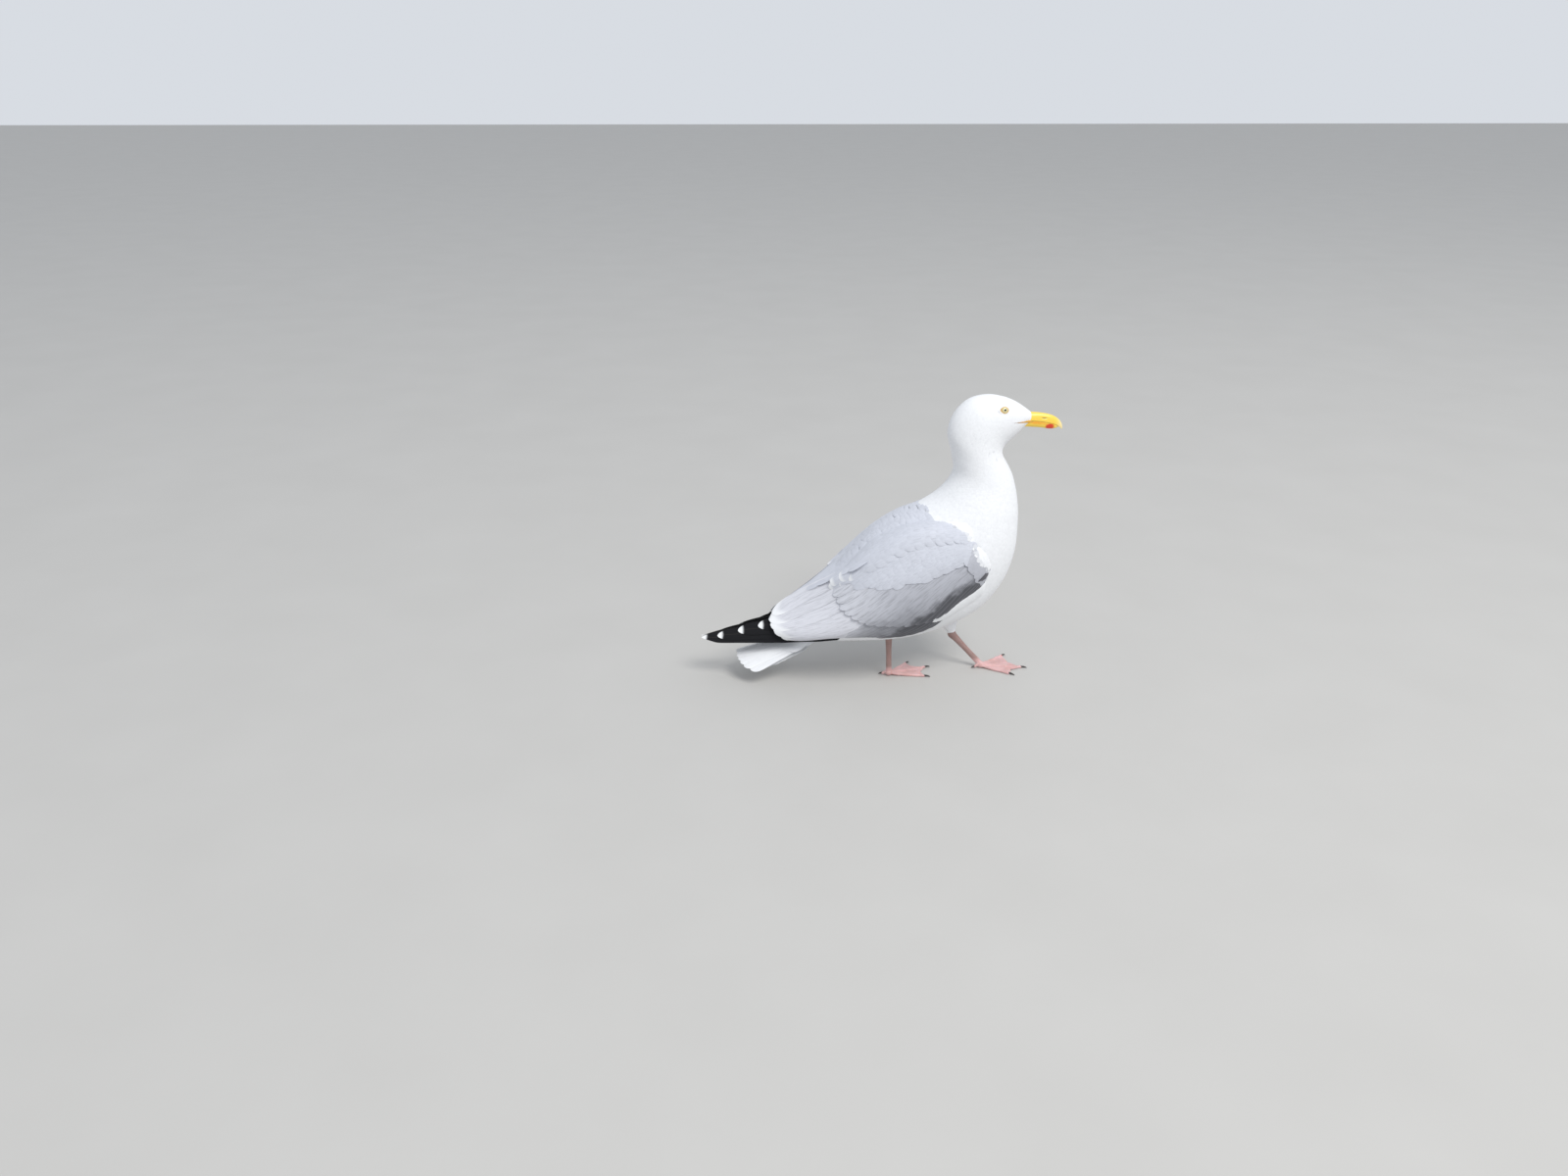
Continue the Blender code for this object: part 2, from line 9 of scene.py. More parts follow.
import bpy
import numpy as np
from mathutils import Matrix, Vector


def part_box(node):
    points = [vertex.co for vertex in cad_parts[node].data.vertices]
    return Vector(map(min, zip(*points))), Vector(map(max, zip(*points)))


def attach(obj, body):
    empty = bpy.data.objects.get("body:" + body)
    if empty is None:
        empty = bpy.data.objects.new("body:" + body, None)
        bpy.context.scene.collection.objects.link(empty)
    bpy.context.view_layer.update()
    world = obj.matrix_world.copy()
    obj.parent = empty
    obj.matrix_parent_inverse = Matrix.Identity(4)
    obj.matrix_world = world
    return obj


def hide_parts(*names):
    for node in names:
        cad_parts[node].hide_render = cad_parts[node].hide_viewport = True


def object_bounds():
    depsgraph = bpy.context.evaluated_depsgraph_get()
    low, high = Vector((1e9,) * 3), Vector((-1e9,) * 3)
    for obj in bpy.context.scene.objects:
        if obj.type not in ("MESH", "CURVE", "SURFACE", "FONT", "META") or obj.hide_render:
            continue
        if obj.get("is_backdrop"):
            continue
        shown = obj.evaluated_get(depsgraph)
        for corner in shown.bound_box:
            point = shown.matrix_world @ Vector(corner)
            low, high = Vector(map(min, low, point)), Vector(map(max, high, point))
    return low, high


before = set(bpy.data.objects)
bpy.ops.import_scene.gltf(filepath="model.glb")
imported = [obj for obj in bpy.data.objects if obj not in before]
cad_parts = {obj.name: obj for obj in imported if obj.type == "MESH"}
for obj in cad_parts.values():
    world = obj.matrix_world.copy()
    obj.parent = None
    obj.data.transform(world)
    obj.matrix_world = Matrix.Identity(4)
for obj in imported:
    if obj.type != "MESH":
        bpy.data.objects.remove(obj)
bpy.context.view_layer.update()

# ---------------------------------------------------------------------------------------------------------
# The skin. One hide covers the head, neck, trunk, wing arms and thighs, and runs on without a seam into the
# bare scaly legs and the webs between the toes. It lies inside the solids by the depth of the coat.

MM = 0.001

# Stations from the bill's base to the rump: upper outline (x, z), lower outline (x, z), half width.
BODY = np.array([
    [199, 375.5, 187, 354.5, 8.5],
    [189, 383, 183, 350, 14],
    [176, 391, 176, 343, 18.5],
    [160, 397, 168.5, 335.5, 22],
    [138, 399.7, 164.5, 329.5, 25],
    [115, 393.3, 163.5, 323.5, 27.5],
    [97.5, 375, 165.5, 316.5, 29],
    [90, 350, 170.5, 308, 30.5],
    [96.5, 321, 179.5, 290, 33],
    [99.5, 297, 187, 261, 37.5],
    [86, 274, 190, 230, 46],
    [61, 254.5, 188, 184, 55],
    [28, 240, 174, 141, 61],
    [-5, 217, 146, 104, 64],
    [-37, 184, 107, 80, 64],
    [-68, 146, 66, 66, 60],
    [-92, 113, 25, 60, 52],
    [-108, 90, -25, 59, 40],
    [-118, 73, -70, 57, 26],
    [-127, 60, -104, 50, 13],
])
BODY_END = len(BODY) - 1

# The folded left wing from its bend to the tertials' tips: points on its upper edge, its bulge and its
# lower edge, all (x, outward, z).
WING = np.array([
    [133, 52, 208, 143, 54, 194, 148, 50, 176],
    [112, 54, 226, 130, 66, 190, 137, 53, 152],
    [77, 56, 231, 93, 72, 178, 107, 56, 128],
    [35, 54, 225, 49, 75, 158, 66, 58, 97],
    [-4, 48, 202, 5, 75, 135, 20, 59, 83],
    [-37, 36, 178, -34, 70, 115, -25, 57, 79],
    [-65, 19, 156, -70, 57, 99, -66, 50, 76],
    [-104, 4, 129, -107, 41, 88, -104, 38, 68],
    [-145, 2.5, 98, -140, 26, 82, -128, 31, 68],
])
WING_END = len(WING) - 1

# Depth of the coat over the skin, along the body's stations.
COAT_STATIONS = [0, 1, 3, 6, 9, 12, 19]
COAT_DEPTHS = [0.8, 1.1, 1.6, 2.0, 2.8, 3.6, 3.0]
WING_COAT = 3.0
# How deep the wing arm reaches in to the trunk, along the wing's stations.
WING_BULK_AT = [0, 4.6, 5.6, 6.9]
WING_BULK = [22, 22, 5, 1.6]

SIDES = {"right": -1.0, "left": 1.0}
# Legs: the ankle, the joint of the toes, the way the foot points, and how much wider the outer toe is spread.
LEGS = {
    "right": {"ankle": (19, -20, 67), "toes": (22, -9, 5), "turn": 22.0, "outer_spread": 0.0},
    "left": {"ankle": (113.5, 20, 49), "toes": (155, 13, 5), "turn": -4.0, "outer_spread": 17.0},
}
KNEE = (-12.0, 5.0, 42.0)
# The shank from the ankle to the toes: share of its length, half depth fore and aft, half width.
SHANK = np.array([
    [0.0, 6.0, 4.6],
    [0.14, 4.9, 3.6],
    [0.5, 4.0, 2.8],
    [0.85, 4.2, 3.1],
    [1.0, 3.9, 3.4],
])
# Toes: length without the claw, angle outwards from the middle toe, root radius.
TOES = {"inner": (45.0, -29.0, 3.0), "middle": (59.0, 0.0, 3.3), "outer": (51.0, 30.0, 3.0)}
KNUCKLES = {"inner": 2, "middle": 3, "outer": 4}
TOE_TIP = 1.9
HIND_TOE = 10.0
# Cells of the voxels that melt the parts of the body, and of the feet, into one skin.
SKIN_CELL = 3.0
FOOT_CELL = 0.62


def spline(rows, at):
    """Catmull-Rom curve through the rows of a table, read at the station numbers in at, and carried straight
    on past either end."""
    rows = np.asarray(rows, float)
    within = np.clip(at, 0, len(rows) - 1)
    first = np.minimum(within.astype(int), len(rows) - 2)
    t = (within - first)[..., None]
    padded = np.vstack([2 * rows[0] - rows[1], rows, 2 * rows[-1] - rows[-2]])
    a, b, c, d = (padded[first + k] for k in range(4))
    two, three = 2 * a - 5 * b + 4 * c - d, 3 * (b - c) + d - a
    slope = 0.5 * (c - a + t * (2 * two + 3 * t * three))
    return b + 0.5 * t * (c - a + t * (two + t * three)) + slope * (at - within)[..., None]


def body(s, a):
    """The body's outer form. Station s, and angle a from the back's midline: an ellipse through the upper and
    the lower outline, as wide as the table says."""
    row = spline(BODY, s)
    middle = (row[..., 0:2] + row[..., 2:4]) / 2
    reach = (row[..., 0:2] - row[..., 2:4]) / 2
    outline = middle + reach * np.cos(a)[..., None]
    return np.stack([outline[..., 0], row[..., 4] * np.sin(a), outline[..., 1]], axis=-1)


def sheet(table):
    """A surface over a table of upper edge, bulge and lower edge: spline curves along it, and across it a
    Bezier arc from edge to edge that passes over the bulge half way."""

    def place(t, v):
        """The point at station t along the sheet and v across it."""
        row = spline(table, t)
        top, bulge, bottom = row[..., 0:3], row[..., 3:6], row[..., 6:9]
        control = 2 * bulge - (top + bottom) / 2
        v = v[..., None]
        return (1 - v) ** 2 * top + 2 * v * (1 - v) * control + v**2 * bottom

    return place


wing = sheet(WING)


def unit(vectors):
    """The vectors drawn out or in to a length of one."""
    return vectors / np.maximum(np.linalg.norm(vectors, axis=-1, keepdims=True), 1e-9)


def slopes(surface, u, v, step=0.004):
    """The surface's two tangents at (u, v), by central differences."""
    along = (surface(u + step, v) - surface(u - step, v)) / (2 * step)
    across = (surface(u, v + step) - surface(u, v - step)) / (2 * step)
    return along, across


def outward(surface, u, v):
    """The surface's outward normal: its second tangent crossed with its first."""
    along, across = slopes(surface, u, v)
    return unit(np.cross(across, along))


def crossed(first, second):
    """The two parameters of a grid of points, from the values along each of them."""
    return np.meshgrid(first, second, indexing="ij")


def grid_faces(rows, cols, wrap):
    """Quads between neighbouring rows of a grid of points; wrap joins the last column to the first."""
    index = np.arange(rows * cols).reshape(rows, cols)
    if wrap:
        index = np.hstack([index, index[:, :1]])
    quads = np.stack([index[:-1, :-1], index[:-1, 1:], index[1:, 1:], index[1:, :-1]], axis=-1)
    return quads.reshape(-1, 4)


def new_mesh(name, points, faces):
    """A mesh from points in millimetres and a list of arrays of faces, each array of one face size."""
    mesh = bpy.data.meshes.new(name)
    corners = np.concatenate([block.ravel() for block in faces]).astype(np.int32)
    sizes = np.concatenate([np.full(len(block), block.shape[1]) for block in faces])
    mesh.vertices.add(len(points))
    mesh.vertices.foreach_set("co", (points * MM).astype(np.float32).ravel())
    mesh.loops.add(len(corners))
    mesh.loops.foreach_set("vertex_index", corners)
    mesh.polygons.add(len(sizes))
    mesh.polygons.foreach_set("loop_start", (np.cumsum(sizes) - sizes).astype(np.int32))
    mesh.update(calc_edges=True)
    return mesh


def new_object(name, mesh, *materials):
    """An object in the scene that holds a mesh and its materials."""
    made = bpy.data.objects.new(name, mesh)
    bpy.context.scene.collection.objects.link(made)
    for material in materials:
        mesh.materials.append(material)
    return made


def closed_tube(name, rings):
    """A closed mesh over rings of points (rows, sides, 3), with a fan to a middle point at each end. The
    rings are turned round if they run clockwise about the line of their middles, so that the faces look
    outwards."""
    rows, sides, _ = rings.shape
    middle = rings.mean(1)
    spokes = rings - middle[:, None]
    turning = np.cross(spokes, np.roll(spokes, -1, axis=1)).sum(axis=1)
    if (turning[:-1] * np.diff(middle, axis=0)).sum() < 0:
        rings = rings[:, ::-1]
    points = np.concatenate([rings.reshape(-1, 3), rings[0].mean(0)[None], rings[-1].mean(0)[None]])
    first = np.arange(sides)
    last = first + (rows - 1) * sides
    start_cap = np.stack([np.roll(first, -1), first, np.full(sides, rows * sides)], axis=1)
    end_cap = np.stack([last, np.roll(last, -1), np.full(sides, rows * sides + 1)], axis=1)
    return new_mesh(name, points, [grid_faces(rows, sides, True), start_cap, end_cap])


def mirrored(points, side):
    """Points of the left side (+1) as they are, or turned over to the right side (-1)."""
    return points * np.array([1.0, side, 1.0])


def sweep(path, wide, deep, sides, heading):
    """Rings of ellipses across a path. wide is the half width sideways, deep the half width fore and aft, and
    heading the way the limb faces, in degrees about +Z."""
    tangent = unit(np.gradient(path, axis=0))
    turn = math.radians(heading)
    sideways = np.array([-math.sin(turn), math.cos(turn), 0.0])
    sideways = unit(sideways - tangent * (tangent @ sideways)[:, None])
    forward = np.cross(sideways, tangent)
    angle = np.arange(sides) * 2 * math.pi / sides
    wide, deep = (np.broadcast_to(given, len(path))[:, None] for given in (wide, deep))
    beside = sideways[:, None] * (np.cos(angle) * wide)[..., None]
    before = forward[:, None] * (np.sin(angle) * deep)[..., None]
    return path[:, None] + beside + before


def join(objects):
    """Joins mesh objects into the first of them."""
    chosen = {"selected_objects": objects, "selected_editable_objects": objects}
    with bpy.context.temp_override(active_object=objects[0], object=objects[0], **chosen):
        bpy.ops.object.join()
    return objects[0]


def joined(name, meshes):
    """One object that holds several meshes."""
    made = join([new_object(mesh.name, mesh) for mesh in meshes])
    made.name = name
    return made


def applied(obj):
    """Replaces an object's mesh by what its modifiers make of it."""
    graph = bpy.context.evaluated_depsgraph_get()
    mesh = bpy.data.meshes.new_from_object(obj.evaluated_get(graph), depsgraph=graph)
    obj.modifiers.clear()
    obj.data = mesh
    return obj


def fused(obj, cell, smoothing):
    """Makes one continuous skin of overlapping closed shells, by voxels of a given size, then smooths it."""
    remesh = obj.modifiers.new("one_skin", "REMESH")
    remesh.mode = "VOXEL"
    remesh.voxel_size = cell * MM
    remesh.use_smooth_shade = True
    smooth = obj.modifiers.new("smoothing", "SMOOTH")
    smooth.iterations = smoothing
    smooth.factor = 0.5
    return applied(obj)


def body_hide():
    """The trunk, neck and head: the body's form drawn in by the coat's depth."""
    s, a = crossed(np.linspace(-0.75, BODY_END - 0.1, 114), np.linspace(-math.pi, math.pi, 73)[:-1])
    depth = np.interp(s, COAT_STATIONS, COAT_DEPTHS)
    return closed_tube("body_hide", body(s, a) - outward(body, s, a) * depth[..., None])


def wing_hide(side):
    """The wing arm: the wing's form drawn in by the coat's depth, filled inwards to the trunk, and thin where
    only feathers reach on behind."""
    t, v = crossed(np.linspace(WING_BULK_AT[0] + 0.12, WING_BULK_AT[-1], 36), np.linspace(0.05, 0.95, 16))
    normal = outward(wing, t, v)
    outer = wing(t, v) - normal * WING_COAT
    inner = outer - normal * np.interp(t, WING_BULK_AT, WING_BULK)[..., None]
    return closed_tube("wing_hide", mirrored(np.concatenate([outer, inner[:, ::-1]], axis=1), side))


def thigh_path(leg, side):
    """The two ends of the feathered thigh: the knee, hidden in the belly's side, and the ankle."""
    ankle = np.array(leg["ankle"], float)
    knee = ankle + np.array([KNEE[0], side * KNEE[1], KNEE[2]])
    return knee, ankle


def thigh_hide(leg, side):
    """The feathered thigh, a cone from inside the belly down to just above the ankle."""
    knee, ankle = thigh_path(leg, side)
    s = np.linspace(0, 1, 14)
    path = knee + (ankle - knee) * 0.76 * s[:, None]
    thick = 15.5 - 10.8 * s**1.3
    return closed_tube("thigh_hide", sweep(path, thick, thick * 1.2, sides=24, heading=leg["turn"]))


def toe_line(leg, side, toe, s):
    """Points down the middle of a toe: straight out from the joint of the toes, sinking from the joint's
    height, and arched over each of its phalanges."""
    length, spread, radius = TOES[toe]
    spread += leg["outer_spread"] if toe == "outer" else 0.0
    heading = math.radians(leg["turn"] + side * spread)
    thick = radius + (TOE_TIP - radius) * s
    rise = 0.76 * thick + 2.0 * (1 - s) ** 4
    x = leg["toes"][0] + s * length * math.cos(heading)
    y = leg["toes"][1] + s * length * math.sin(heading)
    return np.stack([x, y, rise], axis=-1), thick, math.degrees(heading)


def toe_skin(leg, side, toe):
    """A toe with its swollen joints: the radius is a cosine's 9 % greater at each knuckle and less between
    them, and closes in a half round at the end."""
    s = np.linspace(0, 1, 60)
    path, thick, heading = toe_line(leg, side, toe, s)
    swell = 1 + 0.09 * np.cos(2 * math.pi * KNUCKLES[toe] * s)
    end = np.sqrt(np.clip(1 - ((s - 0.96) / 0.04).clip(0, 1) ** 2, 0.04, 1))
    radius = thick * swell * end
    return closed_tube("toe", sweep(path, radius, 0.9 * radius, sides=20, heading=heading))


def web_skin(leg, side, first, second):
    """The skin between two toes: straight lines from the joint of the toes to a free edge that is hollowed
    between the toe tips, rippled along its length and thinnest at the edge."""
    one, two = (toe_line(leg, side, toe, np.array([1.0]))[0] for toe in (first, second))
    s, v = crossed(np.linspace(0.05, 1.0, 46), np.linspace(0, 1, 40))
    tips = (1 - v[..., None]) * one[0] + v[..., None] * two[0]
    scallop = 0.13 * np.sin(math.pi * v) ** 0.8 + 0.018 * np.sin(5.3 * math.pi * v + 0.7)
    start = np.array(leg["toes"], float)
    points = start + (tips - start) * (s * (0.97 - scallop))[..., None]
    ripple = 0.42 * np.sin(4 * math.pi * v + 1.2 * s) * np.sin(math.pi * v) * s
    points[..., 2] = 1.75 + 1.7 * (1 - s) + 1.1 * v * (1 - v) + ripple
    under = points - np.array([0, 0, 1.0]) * (1.35 - 0.35 * s)[..., None]
    return closed_tube("web", np.concatenate([points, under[:, ::-1]], axis=1))


def shank_skin(leg, side):
    """The bare leg: an oval rod from inside the thigh past the ankle's knob to the joint of the toes."""
    knee, ankle = thigh_path(leg, side)
    toes = np.array(leg["toes"], float)
    bare = ankle + (toes - ankle) * SHANK[:, :1]
    above = ankle + (knee - ankle) * np.array([[0.42], [0.28], [0.12]])
    path = np.concatenate([above, bare])
    deep = np.concatenate([[4.0, 4.2, 5.2], SHANK[:, 1]])
    wide = np.concatenate([[3.2, 3.4, 4.2], SHANK[:, 2]])
    rows = spline(np.column_stack([path, deep, wide]), np.linspace(0, len(path) - 1, 120))
    path, deep, wide = rows[:, :3], rows[:, 3], rows[:, 4]
    return closed_tube("shank", sweep(path, wide, deep, sides=32, heading=leg["turn"]))


def knuckle_skin(leg):
    """The swollen joint that the toes spring from: an upright ball, a little longer than it is wide."""
    a = np.linspace(0, math.pi, 22)[1:-1]
    centre = np.array(leg["toes"], float) * [1, 1, 0] + [0, 0, 4.7]
    path = centre + np.stack([np.zeros_like(a), np.zeros_like(a), 4.9 * np.cos(a)], axis=1)
    wide, deep = 5.2 * np.sin(a), 5.8 * np.sin(a)
    return closed_tube("knuckle", sweep(path, wide, deep, sides=28, heading=leg["turn"]))


def hind_toe_line(leg, side, s):
    """Points down the middle of the short hind toe, and its heading: it leaves the joint of the toes
    backwards and a little inwards, and sinks to the floor."""
    heading = leg["turn"] + 180 + side * 25
    back = math.radians(heading)
    start = np.array(leg["toes"], float) + np.array([0, 0, 3.0])
    ahead = np.array([math.cos(back), math.sin(back), 0.0])
    return start + ahead * (s * HIND_TOE)[:, None] - np.array([0, 0, 6.0]) * s[:, None], heading


def hind_toe_skin(leg, side):
    """The hind toe: a tapering round rod down its line."""
    s = np.linspace(0, 1, 24)
    path, heading = hind_toe_line(leg, side, s)
    thick = 2.6 - 0.9 * s
    return closed_tube("hind_toe", sweep(path, thick, thick, sides=16, heading=heading))


def flattened(obj, floor):
    """Presses everything under the floor up to it, so that the soles lie flat."""
    points = np.empty(len(obj.data.vertices) * 3, np.float32)
    obj.data.vertices.foreach_get("co", points)
    points[2::3] = np.maximum(points[2::3], floor * MM)
    obj.data.vertices.foreach_set("co", points)
    obj.data.update()


def limb(leg_name):
    """The bare part of a leg as one skin: shank, joint of the toes, four toes and the two webs."""
    leg, side = LEGS[leg_name], SIDES[leg_name]
    shells = [shank_skin(leg, side), knuckle_skin(leg), hind_toe_skin(leg, side)]
    shells += [toe_skin(leg, side, toe) for toe in TOES]
    shells += [web_skin(leg, side, "inner", "middle"), web_skin(leg, side, "middle", "outer")]
    made = fused(joined("limb", shells), FOOT_CELL * (1.0), 3)
    flattened(made, 0.05)
    return made


def new_material(name):
    """A new material, its node tree and its shader."""
    material = bpy.data.materials.new(name)
    material.use_nodes = True
    tree = material.node_tree
    return material, tree, tree.nodes["Principled BSDF"]


def feed(socket, value):
    """Links a socket to the one that feeds it, or sets its number or colour."""
    if isinstance(value, bpy.types.NodeSocket):
        socket.id_data.links.new(value, socket)
    elif isinstance(value, tuple) and socket.type == "RGBA":
        socket.default_value = (*value, 1.0)
    else:
        socket.default_value = value


def node(tree, kind, inputs=None, **settings):
    """A node with its settings, its inputs given as numbers, colours or the sockets that feed them."""
    made = tree.nodes.new(kind)
    for key, value in settings.items():
        setattr(made, key, value)
    for key, value in (inputs or {}).items():
        feed(made.inputs[key], value)
    return made


def tree_of(*values):
    """The node tree of whichever value is a socket."""
    return next(value.id_data for value in values if isinstance(value, bpy.types.NodeSocket))


def maths(operation, a, b=0.0):
    """The result of an operation on a and b, which are numbers or sockets."""
    return node(tree_of(a, b), "ShaderNodeMath", {0: a, 1: b}, operation=operation).outputs[0]


def plus(a, b):
    """a and b added up."""
    return maths("ADD", a, b)


def less(a, b):
    """a less b."""
    return maths("SUBTRACT", a, b)


def times(a, b):
    """a multiplied by b."""
    return maths("MULTIPLY", a, b)


def mixed(factor, a, b, blend="MIX"):
    """Colour a where the factor is 0 and b, or both blended in another way, where it is 1."""
    inputs = {0: factor, 6: a, 7: b}
    return node(tree_of(factor, a, b), "ShaderNodeMix", inputs, data_type="RGBA", blend_type=blend).outputs[2]


def ramp(value, low, high):
    """0 below low, 1 above high, and a smooth step between them."""
    inputs = {0: value, 1: low, 2: high}
    return node(tree_of(value), "ShaderNodeMapRange", inputs, interpolation_type="SMOOTHSTEP").outputs[0]


def attribute(tree, name):
    """A value that the mesh holds at its points."""
    return node(tree, "ShaderNodeAttribute", attribute_name=name).outputs["Fac"]


def own_place(tree):
    """Where a point of the piece lies, in metres."""
    return node(tree, "ShaderNodeTexCoord").outputs["Object"]


def parts(place):
    """The x, y and z of a place."""
    return node(place.id_data, "ShaderNodeSeparateXYZ", {0: place}).outputs.values()


def combined(x, y, z):
    """The place at x, y and z."""
    return node(tree_of(x, y, z), "ShaderNodeCombineXYZ", {0: x, 1: y, 2: z}).outputs[0]


def noise(place, scale, detail):
    """Cloudy noise about 0.5: scale is its number of clouds in a metre, detail that of its finer layers."""
    inputs = {"Vector": place, "Scale": scale, "Detail": detail}
    return node(place.id_data, "ShaderNodeTexNoise", inputs).outputs["Fac"]


def finish(shader, colour, inputs, relief=None, depth=0.0, strength=0.5):
    """Feeds a shader its colour, its other inputs by name, and a bump of the given depth from a relief."""
    for key, value in {"Base Color": colour, **inputs}.items():
        feed(shader.inputs[key], value)
    if relief is not None:
        bump = {"Height": relief, "Distance": depth, "Strength": strength}
        feed(shader.inputs["Normal"], node(shader.id_data, "ShaderNodeBump", bump).outputs[0])


WHITE = (0.83, 0.84, 0.86)
GREY = (0.36, 0.38, 0.43)
BLACK = (0.007, 0.007, 0.009)


def hide_material():
    """Down and skin under the coat: white, and grey under the mantle and wings."""
    material, tree, shader = new_material("downy_skin")
    down = noise(own_place(tree), 900.0, 4.0)
    colour = mixed(attribute(tree, "grey"), WHITE, GREY)
    colour = mixed(times(down, 0.12), colour, (0.5, 0.5, 0.52))
    finish(shader, colour, {"Roughness": 0.9}, relief=down, depth=0.0004)
    return material


def leg_material():
    """Pink skin of the legs and webs: flat plates down the shank, fine scales between them, and a net of
    wrinkles over the toes and webs."""
    material, tree, shader = new_material("pink_leg_skin")
    place = own_place(tree)
    wave = {"Vector": place, "Scale": 105.0, "Distortion": 2.2, "Detail": 1.0, "Detail Scale": 60.0}
    plates = node(tree, "ShaderNodeTexWave", wave, bands_direction="Z").outputs["Fac"]
    cells = node(tree, "ShaderNodeTexVoronoi", {"Vector": place, "Scale": 950.0}, feature="DISTANCE_TO_EDGE")
    net = ramp(cells.outputs["Distance"], 0.0, 0.09)
    blotches = ramp(noise(place, 60.0, 5.0), 0.35, 0.7)
    on_shank = ramp(parts(place)[2], 0.010, 0.017)
    foot = mixed(blotches, (0.84, 0.54, 0.53), (0.70, 0.43, 0.41))
    shank = mixed(blotches, (0.38, 0.25, 0.225), (0.31, 0.205, 0.185))
    colour = mixed(times(less(1.0, net), 0.3), mixed(on_shank, foot, shank), (0.46, 0.22, 0.21))
    inputs = {"Roughness": 0.5, "Subsurface Weight": 0.15, "Subsurface Radius": (0.004, 0.0015, 0.001),
              "Subsurface Scale": 0.6}
    finish(shader, colour, inputs, relief=mixed(on_shank, net, plates), depth=0.00035, strength=0.7)
    return material


# The front edge of the grey, as x against the distance from the midline, and the lower edge of the wing.
GREY_FROM_MIDLINE = [0, 20, 40, 50, 55, 58, 66]
GREY_STARTS_AT = [60, 69, 79, 90, 104, 118, 132]
GREY_EDGE_X = [-110, -25, 20, 66, 107, 137, 148]
GREY_EDGE_Z = [64, 79, 83, 97, 128, 152, 176]


def grey_mark(points, soft=3.0):
    """How grey the coat is at a point: 1 behind the mantle's front edge and above the wing's lower edge."""
    aside = np.abs(points[..., 1])
    behind = np.interp(aside, GREY_FROM_MIDLINE, GREY_STARTS_AT) - points[..., 0]
    above = points[..., 2] - np.interp(points[..., 0], GREY_EDGE_X, GREY_EDGE_Z)
    return np.clip(behind / soft + 0.5, 0, 1) * np.clip(above / soft + 0.5, 0, 1)


def set_points(mesh, name, values):
    """Puts one value for each point into a mesh, for its material to read."""
    made = mesh.attributes.new(name, "FLOAT", "POINT")
    made.data.foreach_set("value", np.asarray(values, np.float32).ravel())


def vertices_of(mesh):
    """A mesh's points, in millimetres."""
    points = np.empty(len(mesh.vertices) * 3, np.float32)
    mesh.vertices.foreach_get("co", points)
    return points.reshape(-1, 3) / MM


hide = [body_hide()]
for side_name, side in SIDES.items():
    hide += [wing_hide(side), thigh_hide(LEGS[side_name], side)]
skin = fused(joined("skin", hide), SKIN_CELL, 4)
for material in (hide_material(), leg_material()):
    skin.data.materials.append(material)
for side_name in SIDES:
    bare = limb(side_name)
    for material in skin.data.materials:
        bare.data.materials.append(material)
    bare.data.polygons.foreach_set("material_index", np.ones(len(bare.data.polygons), np.int32))
    union = skin.modifiers.new("grow_" + side_name, "BOOLEAN")
    union.operation = "UNION"
    union.object = bare
    applied(skin)
    bpy.data.objects.remove(bare)
skin.data.shade_smooth()
set_points(skin.data, "grey", grey_mark(vertices_of(skin.data)))
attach(skin, "root")
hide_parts("head", "neck", "trunk", "mantle", "thigh_right", "thigh_left", "shank_right", "shank_left",
            "foot_right", "foot_left")

# ---------------------------------------------------------------------------------------------------------
# The white coat of the head, neck, breast, belly and rump. Each small contour feather is a thin closed vane
# that grows from the skin and lies back along the body, in staggered rows that widen with the body.

CHANCE = np.random.default_rng(7)
TAU = 2 * math.pi
EYES = {name: np.mean(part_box("eye_" + name), axis=0) / MM for name in SIDES}
ALL_MERIDIANS = 136
MERIDIANS = ALL_MERIDIANS
BODY_GAP = np.array([[0, 0.8], [1.5, 1.05], [4, 1.3], [7, 1.7], [19, 2.3]])
# Length of a contour feather in gaps, and how far inside the folded wing's outline the last ones grow.
FEATHER_LENGTH = 4.4
UNDER_WING = 9.0
# Side of a short feather's patch on the bake map.
BAKE_PATCH = 0.003
# Half axes of the ellipsoid round an eye's middle that stays free of feathers.
EYE_ROOM = (6.0, 14.0, 4.8)
# The corner of the mouth: x, distance from the midline, z, and half height of the bare skin.
GAPE = np.array([
    [192, 8.0, 365.6, 1.4],
    [185, 11.6, 366.0, 0.9],
    [177, 15.6, 366.2, 0.4],
    [169, 18.7, 366.8, 0.1],
])


def contour(f):
    """Half width of a contour feather along its length f: it widens by a sine from the root to its widest
    place, and ends in an oval tip."""
    widest = 0.55
    grow = 0.45 + 0.55 * np.sin(0.5 * math.pi * np.clip(f / widest, 0, 1))
    return grow * np.sqrt(np.clip(1 - (np.clip(f - widest, 0, 1) / (1 - widest)) ** 2.4, 0.012, 1))


def tip_rows(count):
    """Places of a feather's cross rows along its length, closer together towards the tip."""
    return 1 - (1 - np.linspace(0, 1, count)) ** 1.55


def steps_on(surface, u, v, direction):
    """The change in (u, v) that moves a point on the surface by one millimetre along a tangent direction: the
    direction's products with both tangents, solved through the surface's metric."""
    along, across = slopes(surface, u, v)
    e, m, g = (along * along).sum(-1), (along * across).sum(-1), (across * across).sum(-1)
    p, q = (direction * along).sum(-1), (direction * across).sum(-1)
    scale = e * g - m * m
    return (g * p - m * q) / scale, (e * q - m * p) / scale


